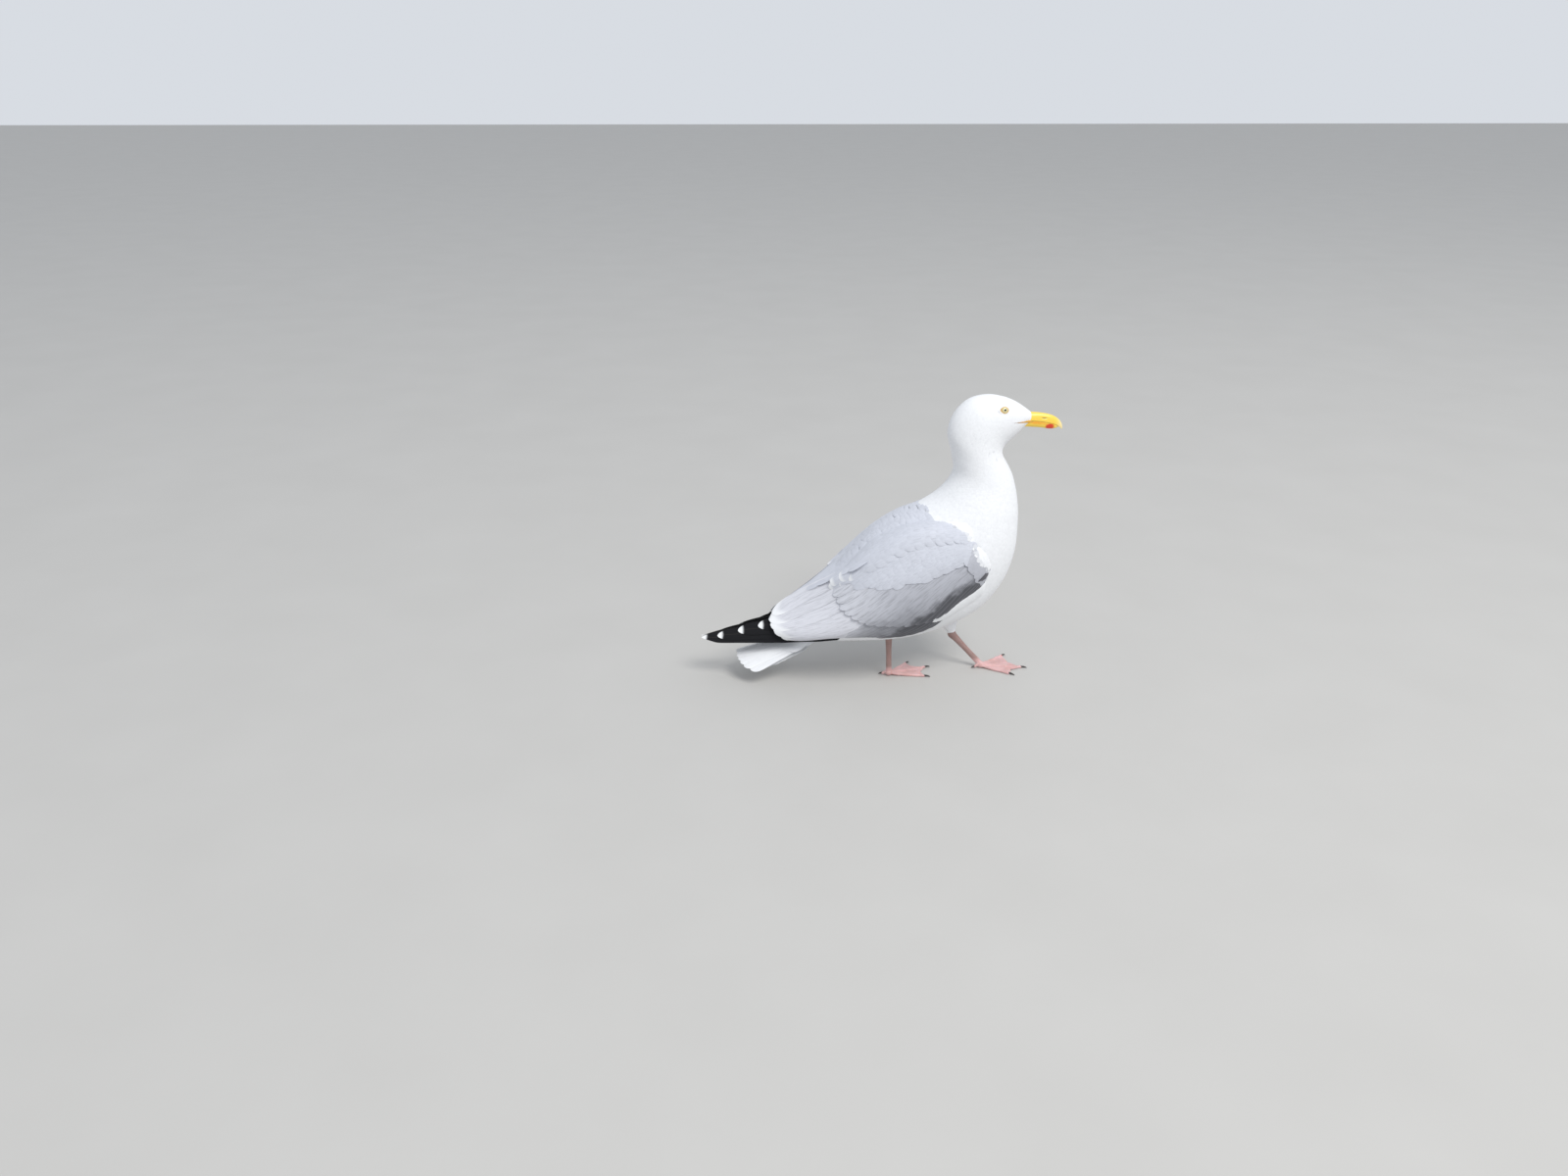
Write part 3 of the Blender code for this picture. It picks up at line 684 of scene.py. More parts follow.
def straight_lie(surface, u, v, turn, length, f):
    """Centre lines that set off from their roots along the surface's first direction, turned by an angle
    towards the second."""
    along, across = slopes(surface, u, v)
    normal = unit(np.cross(across, along))
    ahead = unit(along)
    aside = np.cross(ahead, normal)
    du, dv = steps_on(surface, u, v, ahead * np.cos(turn)[:, None] + aside * np.sin(turn)[:, None])
    reach = length[:, None] * f[None]
    return u[:, None] + du[:, None] * reach, v[:, None] + dv[:, None] * reach


def vanes(name, surface, u, v, half, height, arch=0.0, roll=0.0, cols=3, side=1.0, patches=None, values=None):
    """Closed thin vanes laid on a surface. u and v are each vane's centre line (vane, row), half its half
    width and height its height over the surface, both by row. Points stand off across the line by half
    times g, from -1 to 1, and rise by arch in the middle and by roll towards g = 1. The upper face is a grid
    and a strip from edge to edge closes it underneath. Its edges are sharp, so that the upper face is shaded
    by itself. patches gives each vane's place on the bake map, and values gives numbers, one for each vane,
    that the material reads by name."""
    count, rows = u.shape
    g = np.linspace(-1, 1, cols)
    f = np.linspace(0, 1, rows)
    along, across = slopes(surface, u, v)
    normal = unit(np.cross(across, along))
    du, dv = np.gradient(u, axis=1), np.gradient(v, axis=1)
    ahead = unit(along * du[..., None] + across * dv[..., None])
    step_u, step_v = steps_on(surface, u, v, np.cross(ahead, normal))
    reach = half[..., None] * g
    uu, vv = u[..., None] + step_u[..., None] * reach, v[..., None] + step_v[..., None] * reach
    arch, roll = np.broadcast_to(arch, u.shape)[..., None], np.broadcast_to(roll, u.shape)[..., None]
    rise = height[..., None] + arch * (1 - g**2) + roll * g
    points = surface(uu, vv) + outward(surface, uu, vv) * rise[..., None]
    index = np.arange(rows * cols).reshape(rows, cols)
    top = np.stack([index[:-1, :-1], index[:-1, 1:], index[1:, 1:], index[1:, :-1]], axis=-1).reshape(-1, 4)
    under = np.stack([index[:-1, 0], index[1:, 0], index[1:, -1], index[:-1, -1]], axis=-1)
    ends = np.stack([index[0, ::-1], index[-1]])
    if side < 0:
        top, under, ends = top[:, ::-1], under[:, ::-1], ends[:, ::-1]
    offset = (np.arange(count) * rows * cols)[:, None, None]
    blocks = [(offset + part[None]).reshape(-1, part.shape[1]) for part in (top, under, ends)]
    mesh = new_mesh(name, mirrored(points.reshape(-1, 3), side), blocks)
    hard = mesh.attributes.new("sharp_face", "BOOLEAN", "FACE")
    hard.data.foreach_set("value", np.repeat([False, True, True], [len(block) for block in blocks]))
    edge = np.empty(len(mesh.loops), np.int32)
    mesh.loops.foreach_get("edge_index", edge)
    rim = np.zeros(len(mesh.edges), bool)
    rim[edge[blocks[0].size:]] = True
    mesh.attributes.new("sharp_edge", "BOOLEAN", "EDGE").data.foreach_set("value", rim)
    corner = np.empty(len(mesh.loops), np.int32)
    mesh.loops.foreach_get("vertex_index", corner)
    spans = np.linalg.norm(np.diff(surface(u, v), axis=1), axis=2)
    run = np.concatenate([np.cumsum(spans[:, ::-1], axis=1)[:, ::-1], np.zeros((count, 1))], axis=1)
    shape = (count, rows, cols)
    lay = np.stack([np.broadcast_to(g, shape) / 2 + 0.5, np.broadcast_to(f[:, None], shape)], axis=-1)
    size = np.stack([np.broadcast_to(reach, shape), np.broadcast_to(run[..., None], shape)], axis=-1) / 10
    start, extent = patches
    bake = start[:, None, None] + extent[:, None, None] * lay
    for map_name, place in (("web", lay), ("barb", size), ("OFBake", bake)):
        layer = mesh.uv_layers.new(name=map_name, do_init=False)
        layer.uv.foreach_set("vector", place.reshape(-1, 2)[corner].astype(np.float32).ravel())
    set_points(mesh, "shade", np.broadcast_to(CHANCE.random(count)[:, None, None], shape))
    for value_name, value in (values or {}).items():
        set_points(mesh, value_name, np.broadcast_to(np.reshape(value, (-1, 1, 1)), shape))
    return mesh


def coat(name, surface, u, v, length, half, root, tip, turn=0.0, rows=6, cols=3, side=1.0, spans=None,
         values=None):
    """Short straight feathers from their roots on a surface: each rises from the root's height to the tip's,
    steeply first and then level with the feathers below it. Lengths, half widths, heights and turns are one
    number for all or one for each, and spans are the ranges of u and v that the bake map covers."""
    count = len(u)
    given = (length, half, root, tip, turn)
    length, half, root, tip, turn = (np.broadcast_to(value, count) for value in given)
    f = tip_rows(rows)
    uu, vv = straight_lie(surface, u, v, turn, length, f)
    height = root[:, None] + (tip - root)[:, None] * (1 - (1 - f) ** 3)
    widths = half[:, None] * contour(f)
    place = [(at - low) / (high - low) for at, (low, high) in zip((v, u), spans[::-1])]
    patches = (np.clip(np.column_stack(place), 0, 1) * 0.99 + 0.002, np.full((count, 2), BAKE_PATCH))
    return vanes(name, surface, uu, vv, widths, height, arch=widths * 0.05, cols=cols, side=side,
                 patches=patches, values=values)


def body_roots(first, last, spread):
    """Roots in staggered rows down the body's meridians: the rows are spread times the distance between
    meridians apart, but no closer than a given gap."""
    fine = np.linspace(first, last, 700)
    pitch = TAU / MERIDIANS
    angles = (np.arange(MERIDIANS) + 0.5) * pitch - math.pi
    along, across = slopes(body, *crossed(fine, angles))
    least = np.interp(fine, *BODY_GAP.T)[:, None] * (ALL_MERIDIANS / MERIDIANS)
    gap = np.maximum(np.linalg.norm(across, axis=-1) * TAU / MERIDIANS, least)
    passed = np.cumsum(np.linalg.norm(along, axis=-1) / (gap * spread) * (fine[1] - fine[0]), axis=0)
    found = []
    for column in range(MERIDIANS):
        levels = np.arange(0.5 * (column % 2), passed[-1, column], 1.0)
        at = np.interp(levels, passed[:, column], fine)
        gaps = np.interp(at, fine, gap[:, column])
        found.append(np.column_stack([at, np.full(len(at), angles[column]), gaps]))
    roots = np.concatenate(found)
    roots[:, :2] += CHANCE.uniform(-1, 1, (len(roots), 2)) * [0.012, 0.25 * pitch]
    return roots


def nearest_on_body(x, z):
    """Station and angle (on the left) of the body's points that are seen at x and z from the side."""
    s, a = crossed(np.linspace(0, BODY_END, 480), np.linspace(0.02, math.pi - 0.02, 140))
    grid = body(s, a)[..., [0, 2]].reshape(-1, 2)
    target = np.stack([np.ravel(x), np.ravel(z)], axis=-1)
    best = ((grid[None] - target[:, None]) ** 2).sum(-1).argmin(axis=1)
    return s.ravel()[best], a.ravel()[best]


def under_wing(points, margin):
    """Whether a point lies under the folded wing, more than margin inside its outline seen from the side: the
    crossings of the outline by a line ahead of the point are counted."""
    t = np.linspace(0, WING_END, 60)
    rim = np.concatenate([wing(t, 0 * t), wing(t[::-1], 0 * t + 1)])[:, [0, 2]]
    rim = rim + margin * unit(rim.mean(0) - rim)
    x, z = points[:, 0:1], points[:, 2:3]
    x0, z0, x1, z1 = rim[:, 0], rim[:, 1], np.roll(rim[:, 0], -1), np.roll(rim[:, 1], -1)
    crosses = ((z0 > z) != (z1 > z)) & (x < (x1 - x0) * (z - z0) / np.where(z1 == z0, 1e-9, z1 - z0) + x0)
    return (crosses.sum(axis=1) % 2 == 1) & (np.abs(points[:, 1]) > 30)


def in_the_way(root, tip):
    """Whether a feather would lie over the bare ring of an eye or over the corner of the mouth, at any of
    four places from its root to its tip."""
    taken = np.zeros(len(root), bool)
    for share in (0.0, 0.35, 0.7, 1.0):
        at = root + (tip - root) * share
        for centre in EYES.values():
            taken |= (((at - centre) / EYE_ROOM) ** 2).sum(axis=1) < 1
        line, room = (np.interp(at[:, 0], GAPE[::-1, 0], GAPE[::-1, column]) for column in (2, 3))
        taken |= (np.abs(at[:, 2] - line) < room) & (at[:, 0] > GAPE[-1, 0] - 1) & (np.abs(at[:, 1]) > 6)
    return taken


def body_coat(name, first, last, spread, wide):
    """A tract of the body between two stations, of feathers wide times as broad as half the gap between their
    lines. None grows under the folded wing. One that would reach over an eye or the mouth's corner is halved,
    or left out if its half would reach there too."""
    s, a, gap = body_roots(first, last, spread).T
    free = ~under_wing(body(s, a), UNDER_WING)
    s, a, gap = s[free], a[free], gap[free]
    count = len(s)
    length = gap * FEATHER_LENGTH * CHANCE.uniform(0.9, 1.12, count)
    turn = CHANCE.normal(0, 0.05, count)
    places = body(s, a)
    lies = (straight_lie(body, s, a, turn, length * part, np.array([0.0, 1.0])) for part in (1.0, 0.5))
    whole, halved = (in_the_way(places, body(uu[:, -1], vv[:, -1])) for uu, vv in lies)
    length = np.where(whole, length * 0.5, length)
    s, a, gap, length, turn, places = (row[~halved] for row in (s, a, gap, length, turn, places))
    count = len(s)
    depth = np.interp(s, COAT_STATIONS, COAT_DEPTHS)
    tip = depth * CHANCE.uniform(0.03, 0.07, count)
    low_cheek = (s > 5.4) & (s < 6.7) & (np.abs(a) > 1.2) & (np.abs(a) < 2.3)
    dusk = low_cheek * (CHANCE.random(count) < 0.07) * CHANCE.uniform(0.10, 0.26, count)
    half = gap * wide * CHANCE.uniform(0.9, 1.1, count)
    return coat(name, body, s, a, length, half, root=-0.6 * depth, tip=tip, turn=turn,
                spans=((0, BODY_END), (-math.pi, math.pi)), values={"grey": grey_mark(places), "dusk": dusk})


def feather_group():
    """The look of one vane, from its two maps: barbs that slant away from the shaft, the shaft, a soft
    fringe, dark streaks along the vane, and a tip of another colour whose inner edge follows the tip's
    curve. The map web runs from 0 to 1 across and along the vane; barb is the distance from the shaft and
    from the tip, in centimetres."""
    group = bpy.data.node_groups.new("vane_pattern", "ShaderNodeTree")
    sockets = group.interface
    for name in ("Colour", "Shaft", "Fringe", "Tip"):
        sockets.new_socket(name=name, in_out="INPUT", socket_type="NodeSocketColor")
    numbers = ("Shaft Width", "Fringe Amount", "Barbs", "Streaks", "Tip Length", "Tip Curve", "Tip Softness")
    for name in numbers:
        sockets.new_socket(name=name, in_out="INPUT", socket_type="NodeSocketFloat")
    sockets.new_socket(name="Colour", in_out="OUTPUT", socket_type="NodeSocketColor")
    sockets.new_socket(name="Height", in_out="OUTPUT", socket_type="NodeSocketFloat")
    enter = node(group, "NodeGroupInput").outputs
    leave = node(group, "NodeGroupOutput").inputs
    off_shaft, from_tip, _ = parts(node(group, "ShaderNodeUVMap", uv_map="barb").outputs[0])
    web_x, web_y, _ = parts(node(group, "ShaderNodeUVMap", uv_map="web").outputs[0])
    aside = maths("ABSOLUTE", off_shaft)
    slant = plus(from_tip, times(aside, 1.3))
    shade = attribute(group, "shade")
    seed = times(shade, 40.0)
    strands = noise(combined(times(slant, 16.0), times(aside, 2.0), seed), 1.0, 3.0)
    lines = noise(combined(times(off_shaft, 6.0), times(from_tip, 0.55), seed), 1.0, 4.0)
    shaft = less(1.0, ramp(aside, 0.0, enter["Shaft Width"]))
    across = maths("ABSOLUTE", less(web_x, 0.5))
    rim = maths("MAXIMUM", ramp(across, 0.34, 0.5), ramp(web_y, 0.84, 1.0))
    bend = times(times(aside, aside), enter["Tip Curve"])
    reach = plus(plus(enter["Tip Length"], bend), times(less(strands, 0.5), 0.25))
    tip = ramp(less(reach, from_tip), 0.0, enter["Tip Softness"])
    tone = plus(1.0, times(less(strands, 0.5), enter["Barbs"]))
    tone = plus(tone, times(less(shade, 0.5), 0.05))
    tone = times(tone, less(1.0, times(ramp(lines, 0.44, 0.74), enter["Streaks"])))
    tones = node(group, "ShaderNodeCombineColor", {0: tone, 1: tone, 2: tone}).outputs[0]
    colour = mixed(times(rim, enter["Fringe Amount"]), enter["Colour"], enter["Fringe"])
    colour = mixed(times(shaft, 0.6), colour, enter["Shaft"])
    feed(leave["Colour"], mixed(tip, mixed(1.0, colour, tones, "MULTIPLY"), enter["Tip"]))
    feed(leave["Height"], plus(times(strands, 0.6), times(shaft, 0.7)))
    return group


vane_pattern = feather_group()


def plumage(name, colour, fringe, shaft, shaft_width=0.03, fringe_amount=0.4, barbs=0.10, streaks=0.0,
            tip=(0.85, 0.86, 0.88), tip_length=-2.0, tip_curve=0.0, tip_soft=0.14, gloss=0.5, depth=0.00010):
    """Feather keratin: matt, with barbs, shaft, streaks and tip from the vane pattern. colour may be a
    function that builds the colour in the material's own nodes."""
    material, tree, shader = new_material(name)
    base = colour(tree) if callable(colour) else colour
    pattern = {"Colour": base, "Shaft": shaft, "Fringe": fringe, "Tip": tip, "Shaft Width": shaft_width,
               "Fringe Amount": fringe_amount, "Barbs": barbs, "Streaks": streaks, "Tip Length": tip_length,
               "Tip Curve": tip_curve, "Tip Softness": tip_soft}
    look = node(tree, "ShaderNodeGroup", pattern, node_tree=vane_pattern).outputs
    inputs = {"Roughness": 0.72, "Specular IOR Level": gloss, "Sheen Weight": 0.24 * gloss,
              "Sheen Roughness": 0.5}
    finish(shader, look["Colour"], inputs, relief=look["Height"], depth=depth, strength=0.6)
    return material


def marked_white(tree):
    """White, grey where the mantle's mark says, and dusky on the few marked feathers of the cheek."""
    marked = mixed(attribute(tree, "grey"), WHITE, GREY)
    return mixed(attribute(tree, "dusk"), marked, (0.34, 0.35, 0.40))


def piece(name, meshes, material, replaced=()):
    """One piece of the model from one or more meshes, riding on the bird."""
    made = joined(name, meshes) if len(meshes) > 1 else new_object(name, meshes[0])
    made.data.materials.clear()
    made.data.materials.append(material)
    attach(made, "root")
    if replaced:
        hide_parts(*replaced)
    return made


white_plumage = plumage("white_plumage", marked_white, fringe=(0.88, 0.89, 0.90), shaft=(0.82, 0.82, 0.83),
                        shaft_width=0.012, fringe_amount=0.2, barbs=0.07, depth=0.00005)
# Tracts: first and last station, distance between rows and half width of the feathers, both in gaps.
TRACTS = {
    "coat_head": (-0.6, 4.8, 1.25, 1.0),
    "coat_nape": (4.7, 7.6, 1.35, 1.02),
    "coat_neck": (7.5, 10.6, 1.4, 1.14),
    "coat_breast": (10.5, 13.6, 1.45, 1.2),
    "coat_belly": (13.5, BODY_END - 0.05, 1.5, 1.2),
}
for tract, sizes in TRACTS.items():
    piece(tract, [body_coat(tract, *sizes)], white_plumage)

# ---------------------------------------------------------------------------------------------------------
# Feathers that close the folds of the body: white flank feathers that rise from the belly up under the wing's
# lower edge, and the short white trousers of the thighs, which end just above the ankles.


def staggered(surface, u_span, v_span, rows, columns):
    """Roots in staggered rows over a part of a surface, with the local distance between columns."""
    u, v = crossed(np.linspace(*u_span, rows), np.linspace(*v_span, columns))
    pitch = (v_span[1] - v_span[0]) / max(columns - 1, 1)
    v = v + (np.arange(rows) % 2)[:, None] * pitch / 2 + CHANCE.uniform(-0.18, 0.18, v.shape) * pitch
    u = u + CHANCE.uniform(-0.15, 0.15, u.shape) * (u_span[1] - u_span[0]) / rows
    u, v = u.ravel(), v.ravel()
    across = slopes(surface, u, v)[1]
    return u, v, np.linalg.norm(across, axis=-1) * abs(pitch)


def trousers(leg, side):
    """The thigh's cone as a surface: u down the thigh from 0 to 1, and v the angle round it."""
    knee, ankle = thigh_path(leg, side)
    down = unit(ankle - knee)
    turn = math.radians(leg["turn"])
    aside = np.array([-math.sin(turn), math.cos(turn), 0.0])
    aside = unit(aside - down * (aside @ down))
    fore = np.cross(down, aside)

    def place(u, v):
        """The point at u down the cone and at the angle v."""
        path = knee + (ankle - knee) * 0.80 * u[..., None]
        thick = 17.5 - 11.6 * np.clip(u, 0, 1.1) ** 1.25
        return path + thick[..., None] * (aside * np.cos(v)[..., None] + 1.2 * fore * np.sin(v)[..., None])

    return place


# The flank's sheet: from just inside the wing's lower edge down to the belly.
FLANK_AT = np.linspace(0, 5.5, 12)
WING_RIM = wing(FLANK_AT, np.full(12, 0.93)) - outward(wing, FLANK_AT, np.full(12, 0.93)) * 2.5
FLANK_LOW = body(*nearest_on_body(WING_RIM[:, 0] + 4, WING_RIM[:, 2] - np.linspace(26, 16, 12)))
flank = sheet(np.hstack([WING_RIM, (WING_RIM + FLANK_LOW) / 2 + [0, 2.5, -1.5], FLANK_LOW]))
for side_name, side in SIDES.items():
    u, v, _ = staggered(flank, (-0.3, 10.6), (-0.05, 1.15), rows=64, columns=12)
    count = len(u)
    tucked = 3.2 * np.clip(1.1 - u, 0, 1)
    flank_mesh = coat("flank", flank, u, v, length=15.0 * CHANCE.uniform(0.85, 1.15, count), half=3.4,
                      root=-2.4 - tucked, tip=CHANCE.uniform(0.15, 0.4, count) - 0.9 * tucked, turn=0.12,
                      side=side, spans=((-1, 12), (-0.2, 1.3)))
    thigh = trousers(LEGS[side_name], side)
    u, v, _ = staggered(thigh, (-0.30, 0.97), (0, TAU * 39 / 40), rows=24, columns=40)
    down_thigh = np.clip(u, 0, 1)
    trouser_mesh = coat("trouser", thigh, u, v, length=11.0 - 4.5 * down_thigh,
                        half=1.0 + 1.7 * (1 - down_thigh), root=-1.2, tip=CHANCE.uniform(0.2, 0.6, len(u)),
                        spans=((-0.5, 1), (0, TAU)))
    piece("coat_flank_" + side_name, [flank_mesh], white_plumage)
    piece("coat_thigh_" + side_name, [trouser_mesh], white_plumage)

# ---------------------------------------------------------------------------------------------------------
# The tail: twelve stiff white flight feathers, half closed like a fan. Their roots sit in the rump under soft
# coverts. They lie on a sheet that droops to either side, and each overlaps the next one out.

# Root of the tail (x, z), length, how far the sides droop below the middle, and how it slopes.
TAIL_ROOT = (-52.0, 78.0)
TAIL_LENGTH = 146.0
TAIL_DROOP = 18.0
TAIL_DROP = math.radians(18.0)


def tail(s, v):
    """The tail's sheet: s from root to tip, v from the right edge (-1) to the left edge (1); it widens back,
    droops towards its edges and is rounded at the tip."""
    reach = TAIL_LENGTH * s - 24 * np.abs(v) ** 2.5 * s
    droop = TAIL_DROOP * v**2 * np.clip(s, 1e-6, None) ** 0.7
    x = TAIL_ROOT[0] - reach * math.cos(TAIL_DROP)
    z = TAIL_ROOT[1] - reach * math.sin(TAIL_DROP) - droop
    return np.stack([x, v * (15 + 24 * s), z], axis=-1)


def blade(f, widest=0.75, point=2.6):
    """Half width of a flight feather along its length f: nearly parallel edges and a rounded tip."""
    grow = 0.55 + 0.45 * np.sin(0.5 * math.pi * np.clip(f / widest, 0, 1))
    return grow * np.sqrt(np.clip(1 - (np.clip(f - widest, 0, 1) / (1 - widest)) ** point, 0.006, 1))


def cells(count, columns):
    """Places on the bake map for long feathers, one cell of a grid each."""
    rows = -(-count // columns)
    index = np.arange(count)
    start = np.column_stack([index % columns / columns, index // columns / rows])
    size = np.array([1 / columns, 1 / rows])
    return start + size * 0.04, np.broadcast_to(size * 0.92, (count, 2))


# The twelve feathers from the outermost pair to the middle pair, by their places across the tail.
tail_order = np.array([0, 11, 1, 10, 2, 9, 3, 8, 4, 7, 5, 6])
middle_v = (tail_order - 5.5) / 6
count = len(tail_order)
f = 1 - (1 - np.linspace(0, 1, 26)) ** 1.5
s = f * (1.005 + 0.012 * CHANCE.uniform(-1, 1, count))[:, None]
v = middle_v[:, None] * (0.78 + 0.22 * f)
half = np.broadcast_to((7.6 + 1.2 * f) * blade(f, 0.86, 3.0), s.shape)
height = (1.9 - 2.3 * np.abs(middle_v))[:, None] - 1.4 * (1 - f) ** 3
tail_mesh = vanes("tail", tail, s, v, half, height, arch=0.5, cols=9, patches=cells(count, 6))
tail_white = plumage("tail_white", WHITE, fringe=(0.86, 0.87, 0.88), shaft=(0.66, 0.65, 0.62),
                     shaft_width=0.045, fringe_amount=0.3, barbs=0.12, streaks=0.10)
piece("tail_feathers", [tail_mesh], tail_white, ["tail"])

# Tail coverts: soft white feathers that run out over and under the roots of the tail.
u, v, _ = staggered(tail, (0.10, 0.40), (-0.95, 0.9), rows=10, columns=14)
over = coat("over", tail, u, v, length=24.0, half=4.6, root=1.0,
            tip=0.9 + 1.9 * (0.4 - u) / 0.3 + 0.25 * CHANCE.random(len(u)), cols=5, spans=((0, 1), (-1, 1)))


def tail_under(s, v):
    """The same sheet a little lower, with v turned round so that its outward side is the lower one."""
    return tail(s, -v) - np.array([0, 0, 1.5])


u, v, _ = staggered(tail_under, (0.30, 0.66), (-0.9, 0.85), rows=12, columns=14)
under = coat("under", tail_under, u, v, length=26.0, half=4.6, root=6.0 - 9.0 * (u - 0.3),
             tip=9.0 - 14.0 * (u - 0.3) + CHANCE.random(len(u)), cols=5, spans=((0, 1), (-1, 1)))
piece("tail_coverts", [over, under], white_plumage)

# ---------------------------------------------------------------------------------------------------------
# The primaries: long stiff black wing-tip feathers with small white tips. They fan from under the tertials
# and cross over the tail. The longest lies lowest, and each shorter one over the one before it.

# The sheet they lie on, on the left: upper edge, bulge and lower edge, all (x, outward, z).
PRIMARIES = np.array([
    [-46, 48, 82, -45, 51, 79, -44, 52, 74],
    [-92, 14, 104, -90, 34, 86, -84, 43, 69],
    [-136, 4.5, 97, -133, 21, 78, -126, 31, 62],
    [-180, 4, 82, -178, 13, 70, -172, 22, 59],
    [-213, 3.5, 70, -213, 9, 64, -212, 14, 58],
    [-241, 2.6, 61.5, -241, 4, 60, -241, 5.4, 58.5],
])
primary_sheet = sheet(PRIMARIES)
# Each primary: v at its root, station and v of its tip, half width.
PRIMARY_LINES = np.array([
    [0.90, 4.98, 0.60, 8.5],
    [0.74, 4.16, 0.46, 8.8],
    [0.58, 3.27, 0.34, 9.2],
    [0.44, 2.58, 0.30, 9.6],
    [0.30, 2.24, 0.17, 10.0],
    [0.16, 1.70, 0.05, 10.0],
])
f = 1 - (1 - np.linspace(0, 1, 40)) ** 1.4
root_v, tip_t, tip_v, wide = PRIMARY_LINES.T[..., None]
t = 0.1 + (tip_t - 0.1) * f
v = root_v + (tip_v - root_v) * f**1.3
room = np.linalg.norm(primary_sheet(t, 0 * t) - primary_sheet(t, 0 * t + 1), axis=-1)
half = np.minimum(wide, 0.46 * room + 2.4) * blade(f, 0.78, 1.9) * np.clip(0.2 + 5 * f, 0, 1)
height = -1.6 + 0.75 * np.arange(len(PRIMARY_LINES))[:, None] + 0 * t
primary_black = plumage("primary_black", BLACK, fringe=(0.014, 0.014, 0.017), shaft=(0.04, 0.036, 0.032),
                        shaft_width=0.07, fringe_amount=0.2, barbs=0.5, streaks=0.3, tip=(0.86, 0.87, 0.88),
                        tip_length=0.95, tip_curve=-0.3, tip_soft=0.45, gloss=0.2)
for side_name, side in SIDES.items():
    mesh = vanes("primaries", primary_sheet, t, v, half, height, arch=0.5, roll=0.55, cols=9, side=side,
                 patches=cells(6, 6))
    piece("primary_feathers_" + side_name, [mesh], primary_black, ["primaries_" + side_name])

# ---------------------------------------------------------------------------------------------------------
# The folded wing: long grey secondaries and greater coverts below, short pale coverts in rows above them, and
# large tertials with white tips behind. Each feather's lower edge lies over the next one down.

# Lower edge of the pale upper lobe, as v against t.
LOBE_T = [0.0, 0.38, 0.78, 1.21, 1.51, 2.48, 3.13, 3.62, 4.27, 4.8]
LOBE_V = [0.0, 0.05, 0.26, 0.41, 0.44, 0.455, 0.395, 0.305, 0.22, 0.05]
# Where the wing's grey begins behind the white edge in front of it, as t against v.
FRONT_V = [0.0, 0.235, 0.40, 0.60, 0.85, 1.0]
FRONT_T = [0.38, 0.66, 0.60, 0.42, 0.14, 0.06]
# Long feathers from the lowest to the uppermost: t and v of the root, t and v of the tip, half width.
GREATER = np.array([
    [0.15, 0.80, 1.50, 1.03, 7.0],
    [0.45, 0.66, 2.35, 0.99, 8.0],
    [1.00, 0.52, 3.35, 0.90, 9.5],
    [1.90, 0.42, 4.35, 0.72, 11.0],
    [2.90, 0.28, 5.20, 0.45, 11.0],
    [3.90, 0.10, 5.80, 0.17, 10.0],
])
SECONDARIES = np.array([
    [0.90, 0.90, 3.00, 1.05, 6.5],
    [1.60, 0.82, 4.20, 1.03, 8.0],
    [2.40, 0.72, 5.30, 1.00, 9.5],
    [3.40, 0.62, 6.40, 0.97, 11.0],
])
TERTIALS = np.array([
    [4.60, 0.74, 7.66, 0.93, 14.0],
    [4.65, 0.52, 7.94, 0.70, 15.5],
    [4.75, 0.32, 8.07, 0.46, 16.0],
    [4.75, 0.14, 8.05, 0.26, 15.0],
    [4.60, 0.03, 7.92, 0.10, 12.0],
])
# The thumb's feathers: t and v of the root, length, and height of the tip.
ALULA = np.array([
    [0.22, 0.93, 9.0, 0.9],
    [0.30, 0.89, 12.0, 1.0],
    [0.38, 0.85, 14.0, 1.1],
    [0.46, 0.81, 15.0, 1.2],
])
# Wing greys: pale on the upper lobe; the darker one below it is partly own tone, partly painted shade.
PALE_GREY = (0.60, 0.62, 0.685)
MID_GREY_PARTLY_SHADED = (0.475, 0.485, 0.535)
GREY_FRINGE = (0.67, 0.69, 0.75)
GREY_SHAFT = (0.45, 0.46, 0.50)


def long_feathers(name, table, count, side, rest, roll, columns, rise=3.0, widest=0.75):
    """Long feathers fanned between the rows of a table: straight lines from root to tip over the wing, from
    a height of rest less rise at the root to rest at the tip, with the lower edge raised by roll. The bake
    map has a number of columns of them."""
    line = spline(table, np.linspace(0, len(table) - 1, count))
    line = line + CHANCE.uniform(-1, 1, line.shape) * [0.03, 0.006, 0.035, 0.006, 0.3]
    root_t, root_v, tip_t, tip_v, wide = line.T[..., None]
    f = 1 - (1 - np.linspace(0, 1, 26)) ** 1.4
    t = root_t + (tip_t - root_t) * f
    v = root_v + (tip_v - root_v) * f
    height = rest - rise * (1 - f) ** 3 + 0 * t
    half = wide * blade(f, widest)
    return vanes(name, wing, t, v, half, height, arch=0.35, roll=roll, cols=9, side=side,
                 patches=cells(count, columns))


def covert_colour(tree):
    """Pale grey of the upper lobe, or the darker grey of the coverts below its edge where the mark says,
    which is partly painted shade.
    """
    return mixed(attribute(tree, "grey"), PALE_GREY, MID_GREY_PARTLY_SHADED)


covert_grey = plumage("covert_grey", covert_colour, GREY_FRINGE, GREY_SHAFT, shaft_width=0.02,
                      fringe_amount=0.14, barbs=0.10, streaks=0.12)


